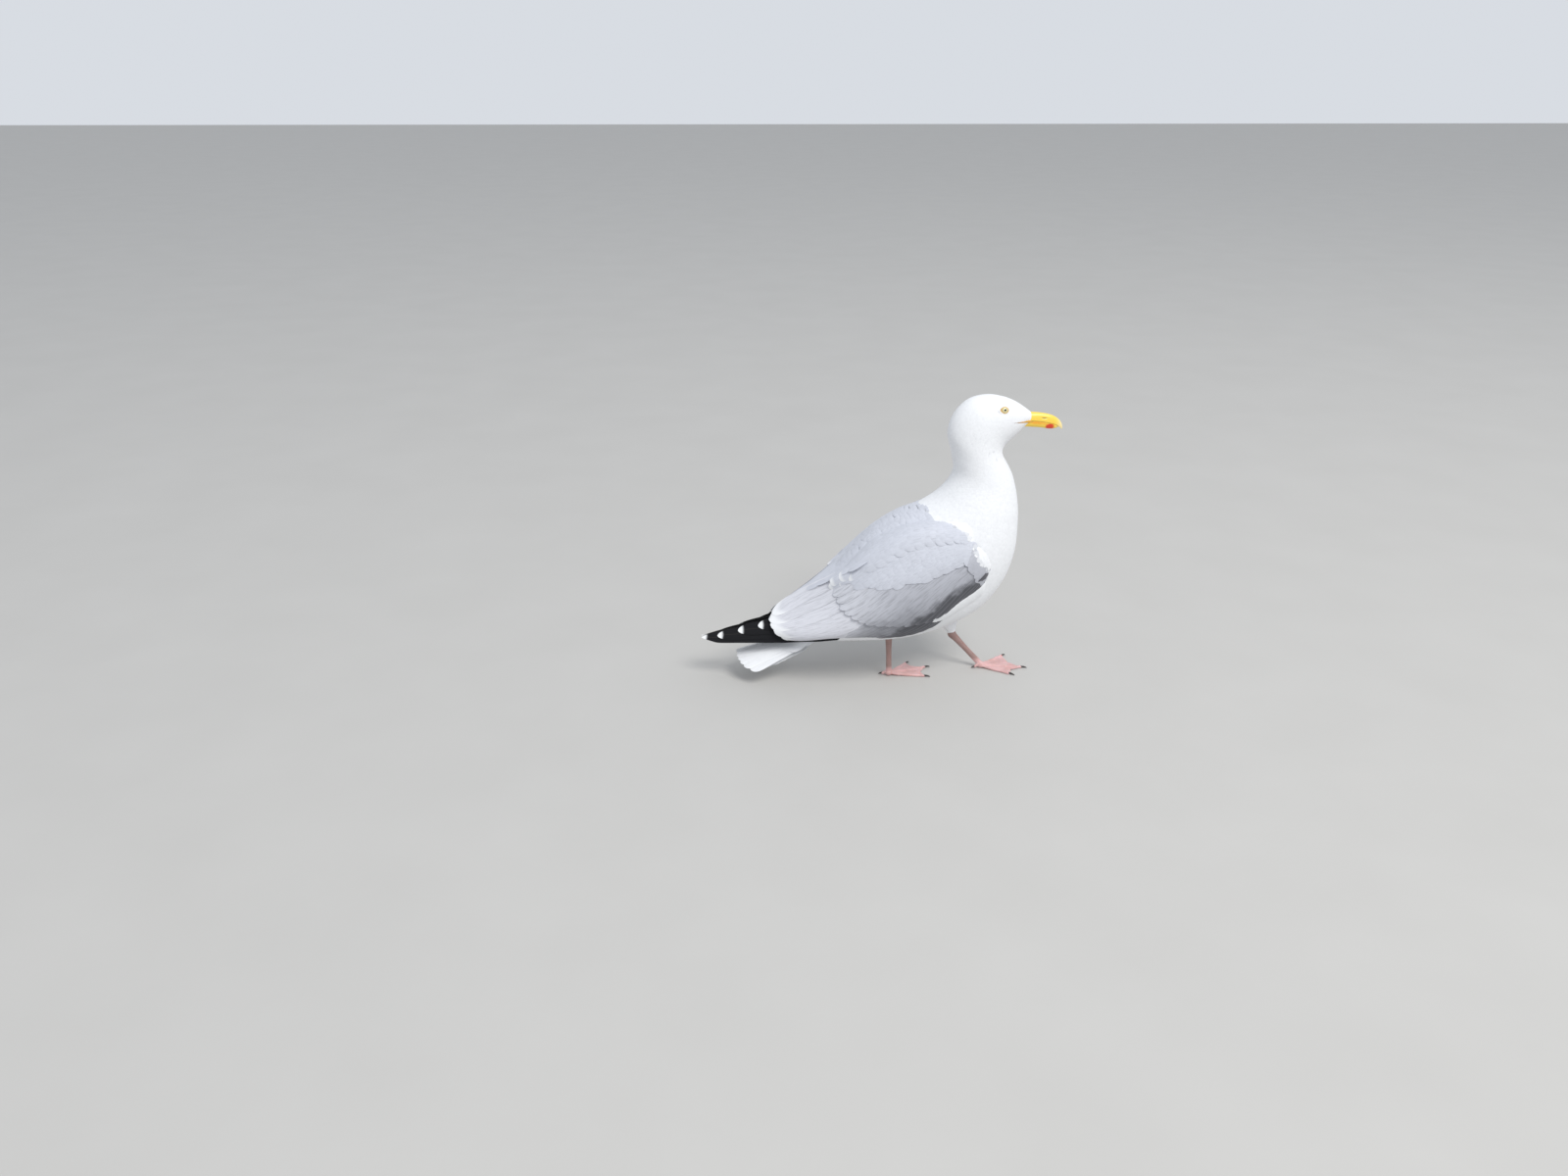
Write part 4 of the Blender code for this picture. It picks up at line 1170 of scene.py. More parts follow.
def shaded_grey(tree):
    """Grey that pales back towards the tertials, and darkens in painted shade to the wing's lower edge:
    softly over half of the wing's height behind the middle, and fully in front, below a ragged line just
    above the edge."""
    place = own_place(tree)
    x, _, z = parts(place)
    edge = maths("MAXIMUM", plus(0.0685, times(x, 0.727)), 0.079)
    above = plus(less(z, edge), times(less(noise(place, 70.0, 4.0), 0.5), 0.034))
    # Painted shade: near-black below a ragged line just above the wing's lower edge, from the middle
    # forwards.
    sharp = times(less(1.0, ramp(above, -0.003, 0.022)), ramp(x, -0.070, 0.030))
    rear = times(ramp(x, -0.058, 0.002), less(0.56, times(ramp(x, 0.025, 0.080), 0.46)))
    # Painted shade: a soft darkening over the lower half of the wing, strongest behind the middle.
    broad = times(less(1.0, ramp(above, 0.006, 0.054)), rear)
    grey = mixed(ramp(x, -0.060, 0.030), (0.64, 0.65, 0.70), MID_GREY_PARTLY_SHADED)
    return mixed(maths("MAXIMUM", sharp, broad), grey, (0.080, 0.082, 0.095))


# The lower wing's feathers, with painted shade towards the wing's lower edge.
lower_grey_painted_shade = plumage("lower_grey_painted_shade", shaded_grey, fringe=(0.52, 0.53, 0.58), shaft=(0.29, 0.29, 0.32),
                     shaft_width=0.03, fringe_amount=0.15, barbs=0.14, streaks=0.3)
# Near-black grey of the thumb's feathers: painted shade of the hollow between the wing's bend and the breast.
dark_grey_painted_shade = plumage("dark_grey_painted_shade", (0.09, 0.09, 0.105), fringe=(0.26, 0.26, 0.29), shaft=(0.05, 0.05, 0.05),
                    shaft_width=0.04, fringe_amount=0.5, barbs=0.2, streaks=0.3)
tertial_grey = plumage("tertial_grey", (0.68, 0.685, 0.735), fringe=(0.75, 0.76, 0.80),
                       shaft=(0.46, 0.46, 0.49), shaft_width=0.04, fringe_amount=0.2, barbs=0.12,
                       streaks=0.20, tip=(0.86, 0.87, 0.89), tip_length=1.8, tip_curve=0.7, tip_soft=1.2)
for side_name, side in SIDES.items():
    # Long feathers first, from the lowest layer to the highest.
    mesh = long_feathers("secondaries", SECONDARIES, 12, side, rest=-1.2, roll=0.7, columns=6)
    piece("secondaries_" + side_name, [mesh], lower_grey_painted_shade)
    mesh = long_feathers("tertials", TERTIALS, 6, side, rest=0.2, roll=0.55, columns=6, rise=4.0, widest=0.80)
    piece("tertial_feathers_" + side_name, [mesh], tertial_grey, ["tertials_" + side_name])
    mesh = long_feathers("greater_coverts", GREATER, 19, side, rest=0.0, roll=0.7, columns=10, rise=1.8)
    piece("greater_coverts_" + side_name, [mesh], lower_grey_painted_shade, ["wing_" + side_name])

    # Lesser and median coverts of the pale lobe, longer and darker along its lower edge, partly with painted
    # shade.
    t, v, gap = staggered(wing, (-0.15, 4.75), (0.05, 0.52), rows=36, columns=16)
    lobe = np.interp(t, LOBE_T, LOBE_V)
    chosen = v < lobe - 0.02
    t, v, gap, lobe = t[chosen], v[chosen], gap[chosen], lobe[chosen]
    count = len(t)
    low = np.clip(1 - (lobe - v) / 0.12, 0, 1)
    length = (12.0 + 2.6 * t) * (1 + 0.35 * low) * CHANCE.uniform(0.85, 1.12, count)
    room = v * np.linalg.norm(wing(t, 0 * t + 1) - wing(t, 0 * t), axis=-1)
    half = np.minimum(gap * 1.15 + 1.0, 0.8 * room)
    mesh = coat("lesser_coverts", wing, t, v, length, half, root=-2.2,
                tip=0.7 + CHANCE.uniform(-0.08, 0.10, count) + 0.1 * low, turn=0.10, rows=8, cols=5,
                side=side, spans=((-1, 5), (0, 0.6)),
                values={"grey": 0.45 * low * CHANCE.uniform(0.5, 1.0, count)})

    # Marginal coverts round the bend of the wing.
    t, v, gap = staggered(wing, (-0.25, 1.25), (-0.02, 0.96), rows=15, columns=13)
    chosen = (t < 1.3 - np.abs(v - 0.3)) & (t > np.interp(v, FRONT_V, FRONT_T) - 0.24)
    t, v, gap = t[chosen], v[chosen], gap[chosen]
    # Below the lobe the marginal coverts take the darker grey, partly painted shade.
    below_lobe = np.clip((v - np.interp(t, LOBE_T, LOBE_V) - 0.02) / 0.12, 0, 1)
    edge = coat("marginal_coverts", wing, t, v, length=9.0 + 4.0 * np.clip(t, 0, 2), half=gap * 0.9 + 0.6,
                root=-2.4, tip=0.5, cols=5, side=side, spans=((-1, 5), (0, 1)), values={"grey": below_lobe})
    piece("lesser_coverts_" + side_name, [mesh, edge], covert_grey)
    t, v, length, tip = ALULA.T
    mesh = coat("alula", wing, t, v, length, half=2.6, root=-0.5, tip=tip, rows=10, cols=5, side=side,
                spans=((0, 1), (0, 1)))
    # The thumb's feathers in near-black, painted shade of the hollow at the wing's bend.
    piece("alula_" + side_name, [mesh], dark_grey_painted_shade)

# ---------------------------------------------------------------------------------------------------------
# The mantle and scapulars: pale grey feathers of the back, and the larger ones that run from it down over the
# top of the folded wing and end in a white crescent.

# The last scapulars: u and v of the root, length, and height of the tip.
LAST_SCAPULARS = np.array([
    [7.3, 1.04, 42.0, 1.1],
    [8.0, 1.08, 46.0, 1.25],
    [8.7, 1.02, 45.0, 1.4],
    [8.2, 0.72, 40.0, 1.55],
    [9.0, 0.62, 38.0, 1.7],
])
# The scapulars' sheet: on the body in front, and free of it behind, from the back down to the wing.
SCAP_AT = np.linspace(0.5, 6.0, 12)
SCAP_LOW = wing(SCAP_AT, np.full(12, 0.09)) + outward(wing, SCAP_AT, np.full(12, 0.09)) * 1.6
SCAP_S, SCAP_A = nearest_on_body(SCAP_LOW[:, 0] - 4, SCAP_LOW[:, 2] + 18)
SCAP_A = np.maximum(SCAP_A, 0.34)
SCAP_HIGH = body(SCAP_S, SCAP_A)
SCAP_LOW_S, SCAP_LOW_A = nearest_on_body(SCAP_LOW[:, 0], SCAP_LOW[:, 2])
SCAP_ON_BODY = body((SCAP_S + SCAP_LOW_S) / 2, (SCAP_A + SCAP_LOW_A) / 2) + [0, 0.8, 0.4]
SCAP_FREE = np.interp(SCAP_AT, [0.5, 2.5], [0, 1])[:, None]
SCAP_BULGE = SCAP_ON_BODY * (1 - SCAP_FREE) + ((SCAP_HIGH + SCAP_LOW) / 2 + [0, 4.0, 5.0]) * SCAP_FREE
scapular_sheet = sheet(np.hstack([SCAP_HIGH, SCAP_BULGE, SCAP_LOW]))
back_grey = plumage("back_grey", PALE_GREY, GREY_FRINGE, GREY_SHAFT, shaft_width=0.02, fringe_amount=0.14,
                    barbs=0.10, streaks=0.10)
crescent_grey = plumage("crescent_grey", PALE_GREY, GREY_FRINGE, GREY_SHAFT, shaft_width=0.03,
                        fringe_amount=0.2, barbs=0.10, streaks=0.12, tip=(0.84, 0.85, 0.87),
                        tip_length=0.85, tip_curve=0.5, tip_soft=0.6)
for side_name, side in SIDES.items():
    u, v, gap = staggered(scapular_sheet, (-0.3, 8.6), (-0.06, 0.90), rows=31, columns=6)
    marked = grey_mark(scapular_sheet(u, v) - [9, 0, 0]) > 0.4
    u, v, gap = u[marked], v[marked], gap[marked]
    count = len(u)
    length = (15.0 + 2.6 * np.clip(u, 0, 10)) * CHANCE.uniform(0.92, 1.08, count)
    mesh = coat("scapulars", scapular_sheet, u, v, length, half=gap * 0.7 + 1.8, root=-3.0,
                tip=0.8 + CHANCE.uniform(-0.1, 0.15, count), turn=0.06, rows=9, cols=5, side=side,
                spans=((-1, 11), (-0.2, 1)))
    piece("scapulars_" + side_name, [mesh], back_grey)
    u, v, length, tip = LAST_SCAPULARS.T
    mesh = coat("last_scapulars", scapular_sheet, u, v, length, half=8.5, root=-3.0, tip=tip, turn=0.06,
                rows=14, cols=9, side=side, spans=((-1, 11), (-0.2, 1)))
    piece("last_scapulars_" + side_name, [mesh], crescent_grey)
s, a, gap = staggered(body, (10.6, 15.6), (-0.72, 0.65), rows=36, columns=13)
marked = grey_mark(body(s, a)) > 0.4
s, a, gap = s[marked], a[marked], gap[marked]
count = len(s)
length = (9.0 + 3.4 * (s - 10.7)) * CHANCE.uniform(0.8, 1.25, count)
mesh = coat("mantle", body, s, a, length, half=gap * 0.95 + 0.8, root=-2.6,
            tip=0.45 + CHANCE.uniform(-0.07, 0.10, count), turn=CHANCE.normal(0, 0.06, count), rows=8,
            cols=5, spans=((10, 16), (-0.8, 0.8)))

# Feathers that bridge the gap between the two folded wings behind the mantle.
BACK_AT = np.linspace(4.6, 7.4, 8)
BACK_LEFT = wing(BACK_AT, np.full(8, 0.01)) - [0, 0, 1.5]
BACK_RIGHT = mirrored(BACK_LEFT, -1)
back_sheet = sheet(np.hstack([BACK_RIGHT, (BACK_LEFT + BACK_RIGHT) / 2 + [0, 0, 2.0], BACK_LEFT]))
u, v, gap = staggered(back_sheet, (-0.8, 6.2), (0.02, 0.85), rows=14, columns=6)
bridge = coat("bridge", back_sheet, u, v, length=34.0, half=gap * 0.8 + 2.5, root=-2.0,
              tip=0.2 + CHANCE.uniform(0, 0.3, len(u)), rows=8, cols=5, spans=((-1, 8), (0, 1)))
piece("mantle_feathers", [mesh, bridge], back_grey)

# ---------------------------------------------------------------------------------------------------------
# The soft white edge in front of the wing: feathers of the breast's side that come out from the body over the
# front of the wing's bend and of the scapulars, and end on the first grey ones.

for side_name, side in SIDES.items():
    t, v, gap = staggered(wing, (-0.34, 0.62), (-0.09, 1.0), rows=13, columns=18)
    before = np.interp(v, FRONT_V, FRONT_T) - t
    along, across = (unit(line) for line in slopes(wing, t, v))
    white = (before > 0.10) & (np.abs((along * across).sum(-1)) < 0.7)
    t, v, gap, before = t[white], v[white], gap[white], before[white]
    count = len(t)
    tucked = 8.0 * np.clip(-0.18 - t, 0, 0.3)
    bend = coat("bend", wing, t, v, length=CHANCE.uniform(9.0, 12.0, count), half=gap * 0.9 + 1.0,
                root=-2.0 - tucked, tip=CHANCE.uniform(0.6, 0.85, count) - 0.9 * tucked, side=side,
                spans=((-1, 1), (-0.1, 1.1)),
                values={"grey": CHANCE.uniform(0.0, 0.8, count) * (before < 0.25)})
    u, v, gap = staggered(scapular_sheet, (-0.45, 4.0), (-0.04, 0.98), rows=22, columns=14)
    white = grey_mark(scapular_sheet(u, v) - [6, 0, 0]) < 0.6
    u, v, gap = u[white], v[white], gap[white]
    nearly = grey_mark(scapular_sheet(u, v) - [9, 0, 0], 6.0)
    count = len(u)
    tucked = 2.2 * np.clip(0.5 - u, 0, 1)
    shoulder = coat("shoulder", scapular_sheet, u, v, length=CHANCE.uniform(9.0, 12.0, count),
                    half=gap * 0.9 + 1.0, root=-2.0 - tucked,
                    tip=CHANCE.uniform(0.5, 0.8, count) - 0.9 * tucked, side=side,
                    spans=((-2, 5), (-0.1, 1.1)), values={"grey": nearly * CHANCE.uniform(0.0, 0.8, count)})
    piece("coat_wing_edge_" + side_name, [bend, shoulder], white_plumage)

# ---------------------------------------------------------------------------------------------------------
# The bill: two smooth horny sheaths, yellow with a red spot near the end of the lower one, a slit of a
# nostril each side, and the orange rim of the mouth that runs back from it into the feathers.

# From the base to the tip: outer outline (x, z), cutting edge (x, z), half width.
UPPER = np.array([
    [167, 374, 167, 366.5, 8.6],
    [186, 376.7, 184, 366, 8.2],
    [200, 376.3, 198, 365.5, 6.6],
    [213, 375, 211, 364.3, 5.2],
    [225, 372.3, 222, 362.2, 4.4],
    [234, 367.5, 230.5, 359.8, 3.5],
    [239.2, 361.6, 235.5, 357.3, 2.5],
    [241, 356.5, 238.3, 354.9, 1.5],
    [240.9, 353.2, 239.8, 353, 0.6],
])
LOWER = np.array([
    [167, 360, 167, 366.5, 8.2],
    [185, 357.3, 184, 366, 7.8],
    [199, 356.2, 198, 365.5, 6.2],
    [212, 355.2, 211, 364.3, 4.9],
    [224, 353.6, 222, 362.2, 4.1],
    [231.5, 354.2, 230.5, 359.8, 3.2],
    [236.2, 355.9, 236, 357.3, 1.5],
])
# Places of the nostril's middle and of the red spot, (x, z), and how the nostril's slit falls forwards.
NOSTRIL = (215.6, 368.6)
NOSTRIL_SLOPE = 0.10
RED_SPOT = (223.7, 357.3)


def sheath(table, rows, sides):
    """Rings of one half of the bill: an arch from cutting edge to cutting edge over the outer outline, closed
    by a shallow inner face."""
    at = spline(table, np.linspace(0, len(table) - 1, rows))[:, None]
    phi = np.linspace(0, math.pi, sides)[None]
    arch = np.sin(phi)[..., None] ** 0.8
    outer = at[..., 2:4] + (at[..., 0:2] - at[..., 2:4]) * arch
    inner = at[..., 2:4] + (at[..., 0:2] - at[..., 2:4]) * arch * 0.25
    wide = at[..., 4] * np.cos(phi)
    over = np.stack([outer[..., 0], wide, outer[..., 1]], axis=-1)
    back = np.stack([inner[..., 0], wide * 0.9, inner[..., 1]], axis=-1)[:, ::-1]
    return np.concatenate([over, back[:, 1:-1]], axis=1)


def dented(rings):
    """Presses the nostril's slit into both sides: a narrow hollow along the bill, deepest in its middle."""
    ahead = rings[..., 0] - NOSTRIL[0]
    over = rings[..., 2] - NOSTRIL[1] + NOSTRIL_SLOPE * ahead
    hollow = 1.1 * np.exp(-((ahead / 4.2) ** 4) - (over / 0.75) ** 2) * (np.abs(rings[..., 1]) > 1.5)
    rings = rings.copy()
    rings[..., 1] -= np.sign(rings[..., 1]) * hollow
    return rings


def length_of(x, z):
    """The distance of a point from another seen from the side, from the two differences."""
    across = {0: combined(x, 0.0, z)}
    return node(tree_of(x, z), "ShaderNodeVectorMath", across, operation="LENGTH").outputs["Value"]


def bill_material():
    """Yellow horn, deeper orange along the mouth, paler at the tip, a red spot on the lower half and a dark
    slit for the nostril, with fine growth lines. The mouth is a line that sinks from the base to the tip."""
    material, tree, shader = new_material("yellow_bill")
    place = own_place(tree)
    x, _, z = parts(place)
    wobble = times(less(noise(place, 160.0, 4.0), 0.5), 0.006)
    mouth = node(tree, "ShaderNodeMapRange", {0: x, 1: 0.184, 2: 0.232, 3: 0.366, 4: 0.3595}).outputs[0]
    from_mouth = maths("ABSOLUTE", plus(less(z, mouth), wobble))
    orange = times(less(1.0, ramp(from_mouth, 0.0003, 0.0030)), less(1.0, ramp(x, 0.205, 0.236)))
    colour = mixed(orange, (0.95, 0.66, 0.085), (0.92, 0.40, 0.03))
    colour = mixed(ramp(plus(x, wobble), 0.229, 0.242), colour, (0.90, 0.76, 0.40))
    from_spot = length_of(times(less(x, RED_SPOT[0] * MM), 0.66), less(z, RED_SPOT[1] * MM))
    red = less(1.0, ramp(plus(from_spot, wobble), 0.0030, 0.0052))
    below = maths("LESS_THAN", z, plus(mouth, 0.0004))
    colour = mixed(times(red, below), colour, (0.72, 0.02, 0.008))
    ahead, over = less(x, NOSTRIL[0] * MM), less(z, NOSTRIL[1] * MM)
    from_slit = length_of(times(ahead, 0.17), plus(over, times(ahead, NOSTRIL_SLOPE)))
    colour = mixed(less(1.0, ramp(from_slit, 0.0002, 0.00075)), colour, (0.16, 0.08, 0.02))
    drawn_out = node(tree, "ShaderNodeVectorMath", {0: place, 1: (120.0, 900.0, 900.0)}, operation="MULTIPLY")
    lines = noise(drawn_out.outputs[0], 1.0, 3.0)
    colour = mixed(times(lines, 0.12), colour, (0.82, 0.48, 0.05))
    inputs = {"Roughness": 0.34, "Coat Weight": 0.25, "Coat Roughness": 0.25}
    finish(shader, colour, inputs, relief=lines, depth=0.00008)
    return material


bill_horn = bill_material()
for half_name, rings in (("upper", dented(sheath(UPPER, 150, 73))), ("lower", sheath(LOWER, 120, 61))):
    mesh = closed_tube(half_name, rings)
    made = piece("bill_sheath_" + half_name, [mesh], bill_horn, ["bill_" + half_name])
    made.data.shade_smooth()


def mouth_corner(side):
    """The bare rim at the mouth's corner: a slim tube that comes out of the bill's base and tapers back
    along the face. Its outer side is hollowed by a groove, where the jaws meet, that fades in the angle
    round it."""
    on_face = body(*nearest_on_body(GAPE[1:, 0], GAPE[1:, 2])) - [0, 0.6, 0]
    rows = np.concatenate([[[207, 3.9, 365.0], [196, 6.5, 365.3]], on_face])
    at = np.linspace(0, 4, 70)
    half = np.interp(at, [0, 1, 2, 3, 4], [1.3, 1.8, 1.05, 0.5, 0.2])
    rings = sweep(spline(mirrored(rows, side), at), half**0.3, half, sides=32, heading=0)

    def outermost(points):
        """1 on the line round the tube that lies furthest out from the head, and near 0 away from it."""
        aside = side * unit(points - points.mean(1, keepdims=True))[..., 1]
        return np.exp((aside / aside.max(1, keepdims=True) - 1) / 0.05)

    hollow = 1 - 0.35 * outermost(rings)[..., None]
    middle = rings.mean(1, keepdims=True)
    mesh = closed_tube("rim", middle + (rings - middle) * hollow)
    # The groove's mask, for the painted shade in it.
    groove = outermost(vertices_of(mesh)[:-2].reshape(rings.shape))
    set_points(mesh, "groove", np.concatenate([groove.ravel(), [0.0, 0.0]]))
    return mesh


def gape_material():
    """Orange skin by the bill that turns dusky towards the corner, with dark painted shade in the groove."""
    material, tree, shader = new_material("orange_gape")
    x, _, _ = parts(own_place(tree))
    colour = mixed(ramp(x, 0.172, 0.192), (0.46, 0.31, 0.25), (0.92, 0.50, 0.07))
    # Painted shade: near-black in the groove where the jaws meet.
    colour = mixed(ramp(attribute(tree, "groove"), 0.2, 0.8), colour, (0.09, 0.045, 0.03))
    finish(shader, colour, {"Roughness": 0.45})
    return material


gape = piece("gape", [mouth_corner(side) for side in SIDES.values()], gape_material())
gape.data.shade_smooth()

# ---------------------------------------------------------------------------------------------------------
# The eyes: glassy balls with a pale straw iris and a small dark pupil, set in the skin. The lids are a ring
# of bare beaded skin that closes on the ball, and are joined into the skin.

EYE_RADIUS = 6.5
EYE_SET_IN = 0.7
IRIS = 4.35
PUPIL = 1.5


def eye_frame(side):
    """Three directions for an eye: out of the head, forward along the lids, and up."""
    out = unit(np.array([0.13, side, 0.36]))
    fore = unit(np.array([1.0, 0.0, 0.0]) - out * out[0])
    return out, fore, np.cross(fore, out) * side


def eye_ball(side, centre):
    """A ball about the eye's axis, with the clear front swelling a little over the iris."""
    out, fore, up = eye_frame(side)
    angle = np.linspace(0.01, math.pi - 0.01, 60)[:, None]
    turn = np.arange(64)[None] * TAU / 64
    radius = EYE_RADIUS + 0.45 * np.exp(-((angle / 0.5) ** 4))
    ring = radius * np.sin(angle)
    points = centre + out * (radius * np.cos(angle) + 0 * turn)[..., None]
    points = points + fore * (ring * np.cos(turn))[..., None] + up * (ring * np.sin(turn) * side)[..., None]
    mesh = closed_tube("eye", points)
    from_axis = EYE_RADIUS * np.sin(np.minimum(angle, math.pi / 2)) + 0 * turn
    set_points(mesh, "from_axis", np.concatenate([from_axis.ravel(), [0.0, EYE_RADIUS]]))
    return mesh


def eye_material():
    """From the axis outwards: black pupil, straw iris darker at its rim, and the dark edge of the ball."""
    material, tree, shader = new_material("eye_glass")
    off = attribute(tree, "from_axis")
    grain = noise(own_place(tree), 1400.0, 3.0)
    iris = mixed(times(grain, 0.5), (0.78, 0.72, 0.42), (0.60, 0.50, 0.22))
    iris = mixed(times(ramp(off, IRIS - 1.0, IRIS), 0.6), iris, (0.40, 0.32, 0.14))
    pupil = ramp(plus(off, times(grain, 0.1)), PUPIL - 0.05, PUPIL + 0.16)
    colour = mixed(pupil, (0.004, 0.004, 0.004), iris)
    colour = mixed(ramp(off, IRIS, IRIS + 0.2), colour, (0.05, 0.04, 0.03))
    finish(shader, colour, {"Roughness": 0.25, "Coat Weight": 1.0, "Coat Roughness": 0.02})
    return material


def lid_material():
    """The bare ring of the lids: dark where it meets the ball, then yellow-orange with fine beads, duller
    outwards, and white down on the skirt."""
    material, tree, shader = new_material("orbital_ring")
    off = attribute(tree, "from_axis")
    beads = node(tree, "ShaderNodeTexVoronoi", {"Vector": own_place(tree), "Scale": 2200.0})
    feathered = ramp(off, 0.30, 0.42)
    colour = mixed(ramp(off, 0.10, 0.36), (0.80, 0.48, 0.10), (0.64, 0.44, 0.24))
    colour = mixed(feathered, colour, (0.80, 0.81, 0.83))
    colour = mixed(less(1.0, ramp(off, 0.0, 0.10)), colour, (0.10, 0.06, 0.03))
    relief = times(beads.outputs["Distance"], less(1.0, feathered))
    finish(shader, colour, {"Roughness": 0.45}, relief=relief, depth=0.0001)
    return material


def coat_about(side, centre):
    """How high the coat stands along an eye's axis: a quadratic in the distances forward and up from the
    axis, fitted by least squares to the body's form round the eye."""
    out, fore, up = eye_frame(side)
    s, a = crossed(np.linspace(1, 4.5, 80), np.linspace(0.2, 2.6, 80))
    off = mirrored(body(s, a), side).reshape(-1, 3) - centre
    off = off[np.linalg.norm(off, axis=1) < 10.5]

    def terms(x, z):
        """The six terms of a quadratic in x and z."""
        return np.stack([1 + 0 * x, x, z, x * x, x * z, z * z], axis=-1)

    fit = np.linalg.lstsq(terms(off @ fore, off @ up), off @ out, rcond=None)[0]
    return lambda x, z: terms(x, z) @ fit


def lids(side, centre):
    """A closed ring over the eyeball: its section rises from the iris's edge to a rounded crest, and a
    skirt of down runs out from it just under the coat. It is drawn out to a corner in front and behind, and
    the upper lid reaches lower over the ball."""
    out, fore, up = eye_frame(side)
    turn = (np.arange(96) * TAU / 96)[:, None]
    inner = 3.72 - 0.35 * np.clip(np.sin(turn), 0, 1) ** 1.5
    corner = 1 + 0.18 * np.abs(np.cos(turn)) ** 6 * np.array([0.0, 0.3, 0.7, 1.0])
    lid = (inner + [0.0, 0.34, 0.68, 1.1]) * corner
    skirt = np.array([5.45, 6.2, 7.3, 8.6, 8.6, 5.6]) + 0 * turn
    skirt[:, :1] *= 1 + 0.13 * np.abs(np.cos(turn)) ** 4
    radius = np.hstack([lid, skirt, inner])
    x, z = radius * np.cos(turn) * 1.02, radius * np.sin(turn) * 0.97
    coat_height = coat_about(side, centre)(x, z)
    ball = np.sqrt(np.clip(EYE_RADIUS**2 - x**2 - z**2, 0, None))
    shown = np.maximum(coat_height[:, 4:8] + [0.14, 0.08, -0.15, -0.55], ball[:, 4:8] + 0.15)
    height = np.hstack([ball[:, :4] + [0.05, 0.36, 0.46, 0.36], shown, coat_height[:, 8:10] - [3.0, 3.6],
                        ball[:, 10:] - 1.2])
    points = centre + out * height[..., None] + fore * x[..., None] + up * z[..., None]
    count, ring = points.shape[:2]
    index = np.arange(count * ring).reshape(count, ring)
    after = np.roll(index, -1, axis=0)
    quads = np.stack([index, np.roll(index, -1, axis=1), np.roll(after, -1, axis=1), after], axis=-1)
    quads = quads.reshape(-1, 4)
    mesh = new_mesh("lids", points.reshape(-1, 3), [quads if side < 0 else quads[:, ::-1]])
    share = np.array([0.0, 0.10, 0.22, 0.36, 0.50, 0.64, 0.82, 1.0, 1.0, 0.5, 0.0])
    set_points(mesh, "from_axis", np.broadcast_to(share, (count, ring)))
    return mesh


eye_glass = eye_material()
lid_look = lid_material()
rings = [skin]
for side_name, side in SIDES.items():
    centre = EYES[side_name] - eye_frame(side)[0] * EYE_SET_IN
    ball = piece("eye_ball_" + side_name, [eye_ball(side, centre)], eye_glass, ["eye_" + side_name])
    ball.data.shade_smooth()
    ring = new_object("lids_" + side_name, lids(side, centre))
    for material in (*skin.data.materials, lid_look):
        ring.data.materials.append(material)
    lid_slot = np.full(len(ring.data.polygons), len(skin.data.materials), np.int32)
    ring.data.polygons.foreach_set("material_index", lid_slot)
    ring.data.shade_smooth()
    rings.append(ring)
join(rings)

# ---------------------------------------------------------------------------------------------------------
# The claws: short dark curved horns, one on every toe, smooth and polished by wear. Each is set into the
# toe's end and bends down to the floor.

CLAW_LENGTH = {"inner": 7.6, "middle": 7.6, "outer": 7.6, "hind": 4.8}


def claw(start, heading, drop, length, thick):
    """A horn along a path that runs ahead and bends down over its length to the given drop, tapering to a
    blunt point."""
    turn = math.radians(heading)
    ahead = np.array([math.cos(turn), math.sin(turn), 0.0])
    s = np.linspace(0, 1, 26)
    bend = np.stack([0 * s, 0 * s, -drop * s**1.8 + 0.5 * np.sin(math.pi * s)], axis=-1)
    path = start + ahead * (s * length)[:, None] + bend
    radius = thick * np.sqrt(np.clip(1 - s**1.5, 0.006, 1))
    return closed_tube("claw", sweep(path, radius * 0.8, radius, sides=16, heading=heading))


def claw_material():
    """Dark horn, streaked a little browner."""
    material, tree, shader = new_material("dark_claw")
    streaks = noise(own_place(tree), 900.0, 2.0)
    finish(shader, mixed(streaks, (0.02, 0.015, 0.013), (0.07, 0.05, 0.045)), {"Roughness": 0.3})
    return material


claw_look = claw_material()
for side_name, side in SIDES.items():
    leg = LEGS[side_name]
    for toe, length in CLAW_LENGTH.items():
        if toe == "hind":
            line, heading = hind_toe_line(leg, side, np.array([0.85]))
            start, thick, drop = line[0], 1.3, 1.2
        else:
            line, _, heading = toe_line(leg, side, toe, np.array([0.965]))
            start, thick = line[0] + [0, 0, 0.25], 1.45
            drop = start[2] - 0.5
        claw_name = toe + "_" + side_name
        mesh = claw(start, heading, drop, length + 1.5, thick)
        made = piece("claw_horn_" + claw_name, [mesh], claw_look, ["claw_" + claw_name])
        made.data.shade_smooth()

# ---------------------------------------------------------------------------------------------------------
# Camera, floor and light: a plain pale floor under one broad soft light from above and in front, and an even
# pale sky. The camera looks down a little at the bird's right side.

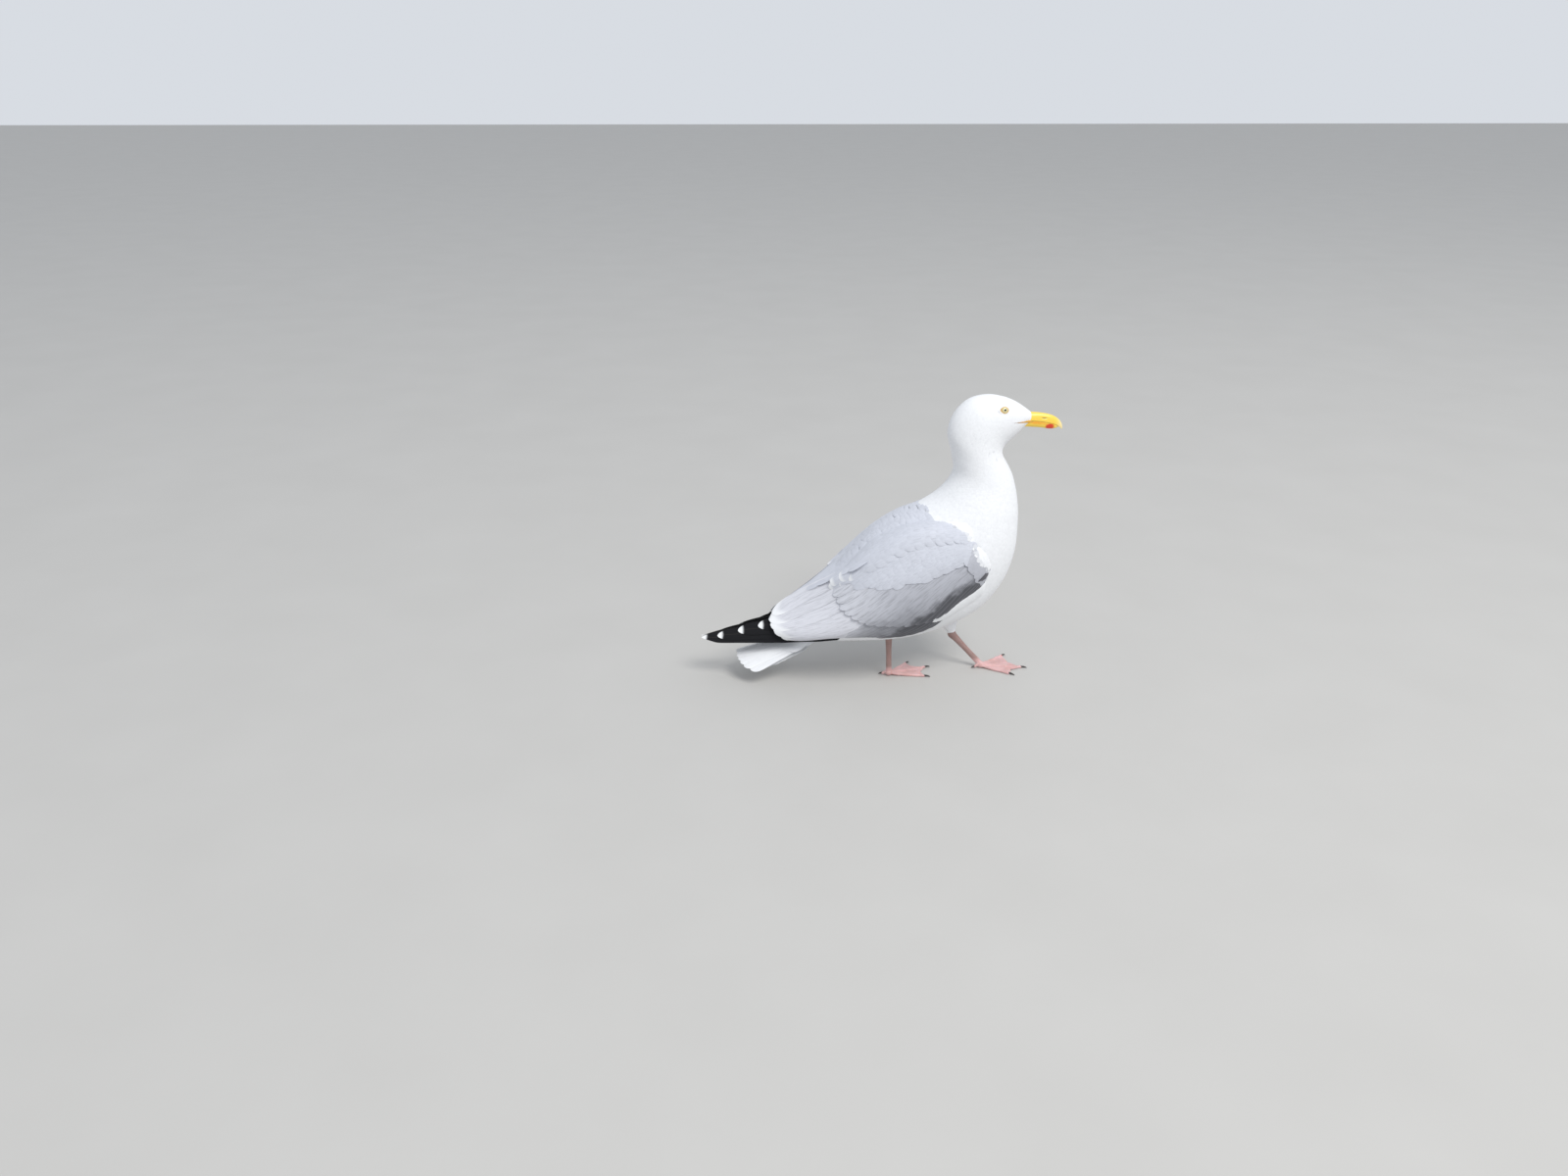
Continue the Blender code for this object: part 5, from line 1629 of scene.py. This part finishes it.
# The camera's place in metres, and how far it looks down and turns to the left, in degrees.
VIEW_FROM = (-0.16762, -1.66141, 0.81304)
VIEW_DOWN = 22.335
VIEW_TURN = -1.461
FLOOR_SIZE = 30.0

camera = bpy.data.objects.new("camera", bpy.data.cameras.new("camera"))
camera.data.lens = 30.0
camera.data.sensor_width = 36.0
camera.location = VIEW_FROM
camera.rotation_euler = (math.radians(90 - VIEW_DOWN), 0.0, math.radians(VIEW_TURN))
bpy.context.scene.collection.objects.link(camera)
bpy.context.scene.camera = camera


def floor_material():
    """A matt pale floor, faintly uneven in tone."""
    material, tree, shader = new_material("pale_floor")
    colour = mixed(noise(own_place(tree), 6.0, 4.0), (0.50, 0.49, 0.47), (0.54, 0.53, 0.51))
    finish(shader, colour, {"Roughness": 0.8})
    return material


corners = np.array([[-1, -1, 0], [1, -1, 0], [1, 1, 0], [-1, 1, 0]], float) * FLOOR_SIZE / 2 / MM
floor = new_object("floor", new_mesh("floor", corners, [np.array([[0, 1, 2, 3]])]), floor_material())
floor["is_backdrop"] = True


def soft_light(name, place, aim, size, power, colour):
    """A round area light at a place, turned so that it shines at its aim."""
    lamp = bpy.data.lights.new(name, "AREA")
    lamp.shape = "DISK"
    lamp.size = size
    lamp.energy = power
    lamp.color = colour
    made = bpy.data.objects.new(name, lamp)
    bpy.context.scene.collection.objects.link(made)
    made.location = place
    away = np.array(place) - np.array(aim)
    pitch = math.atan2(math.hypot(away[0], away[1]), away[2])
    made.rotation_euler = (pitch, 0.0, math.atan2(away[1], away[0]) + math.pi / 2)


soft_light("key", place=(2.2, -3.4, 5.2), aim=(0.0, 0.0, 0.2), size=3.0, power=268.0,
           colour=(1.0, 0.985, 0.96))
world = bpy.data.worlds.new("studio")
world.use_nodes = True
world.node_tree.nodes["Background"].inputs[0].default_value = (0.86, 0.90, 0.96, 1.0)
world.node_tree.nodes["Background"].inputs[1].default_value = 0.80
bpy.context.scene.world = world
bpy.context.scene.view_settings.view_transform = "Standard"

low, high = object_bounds()
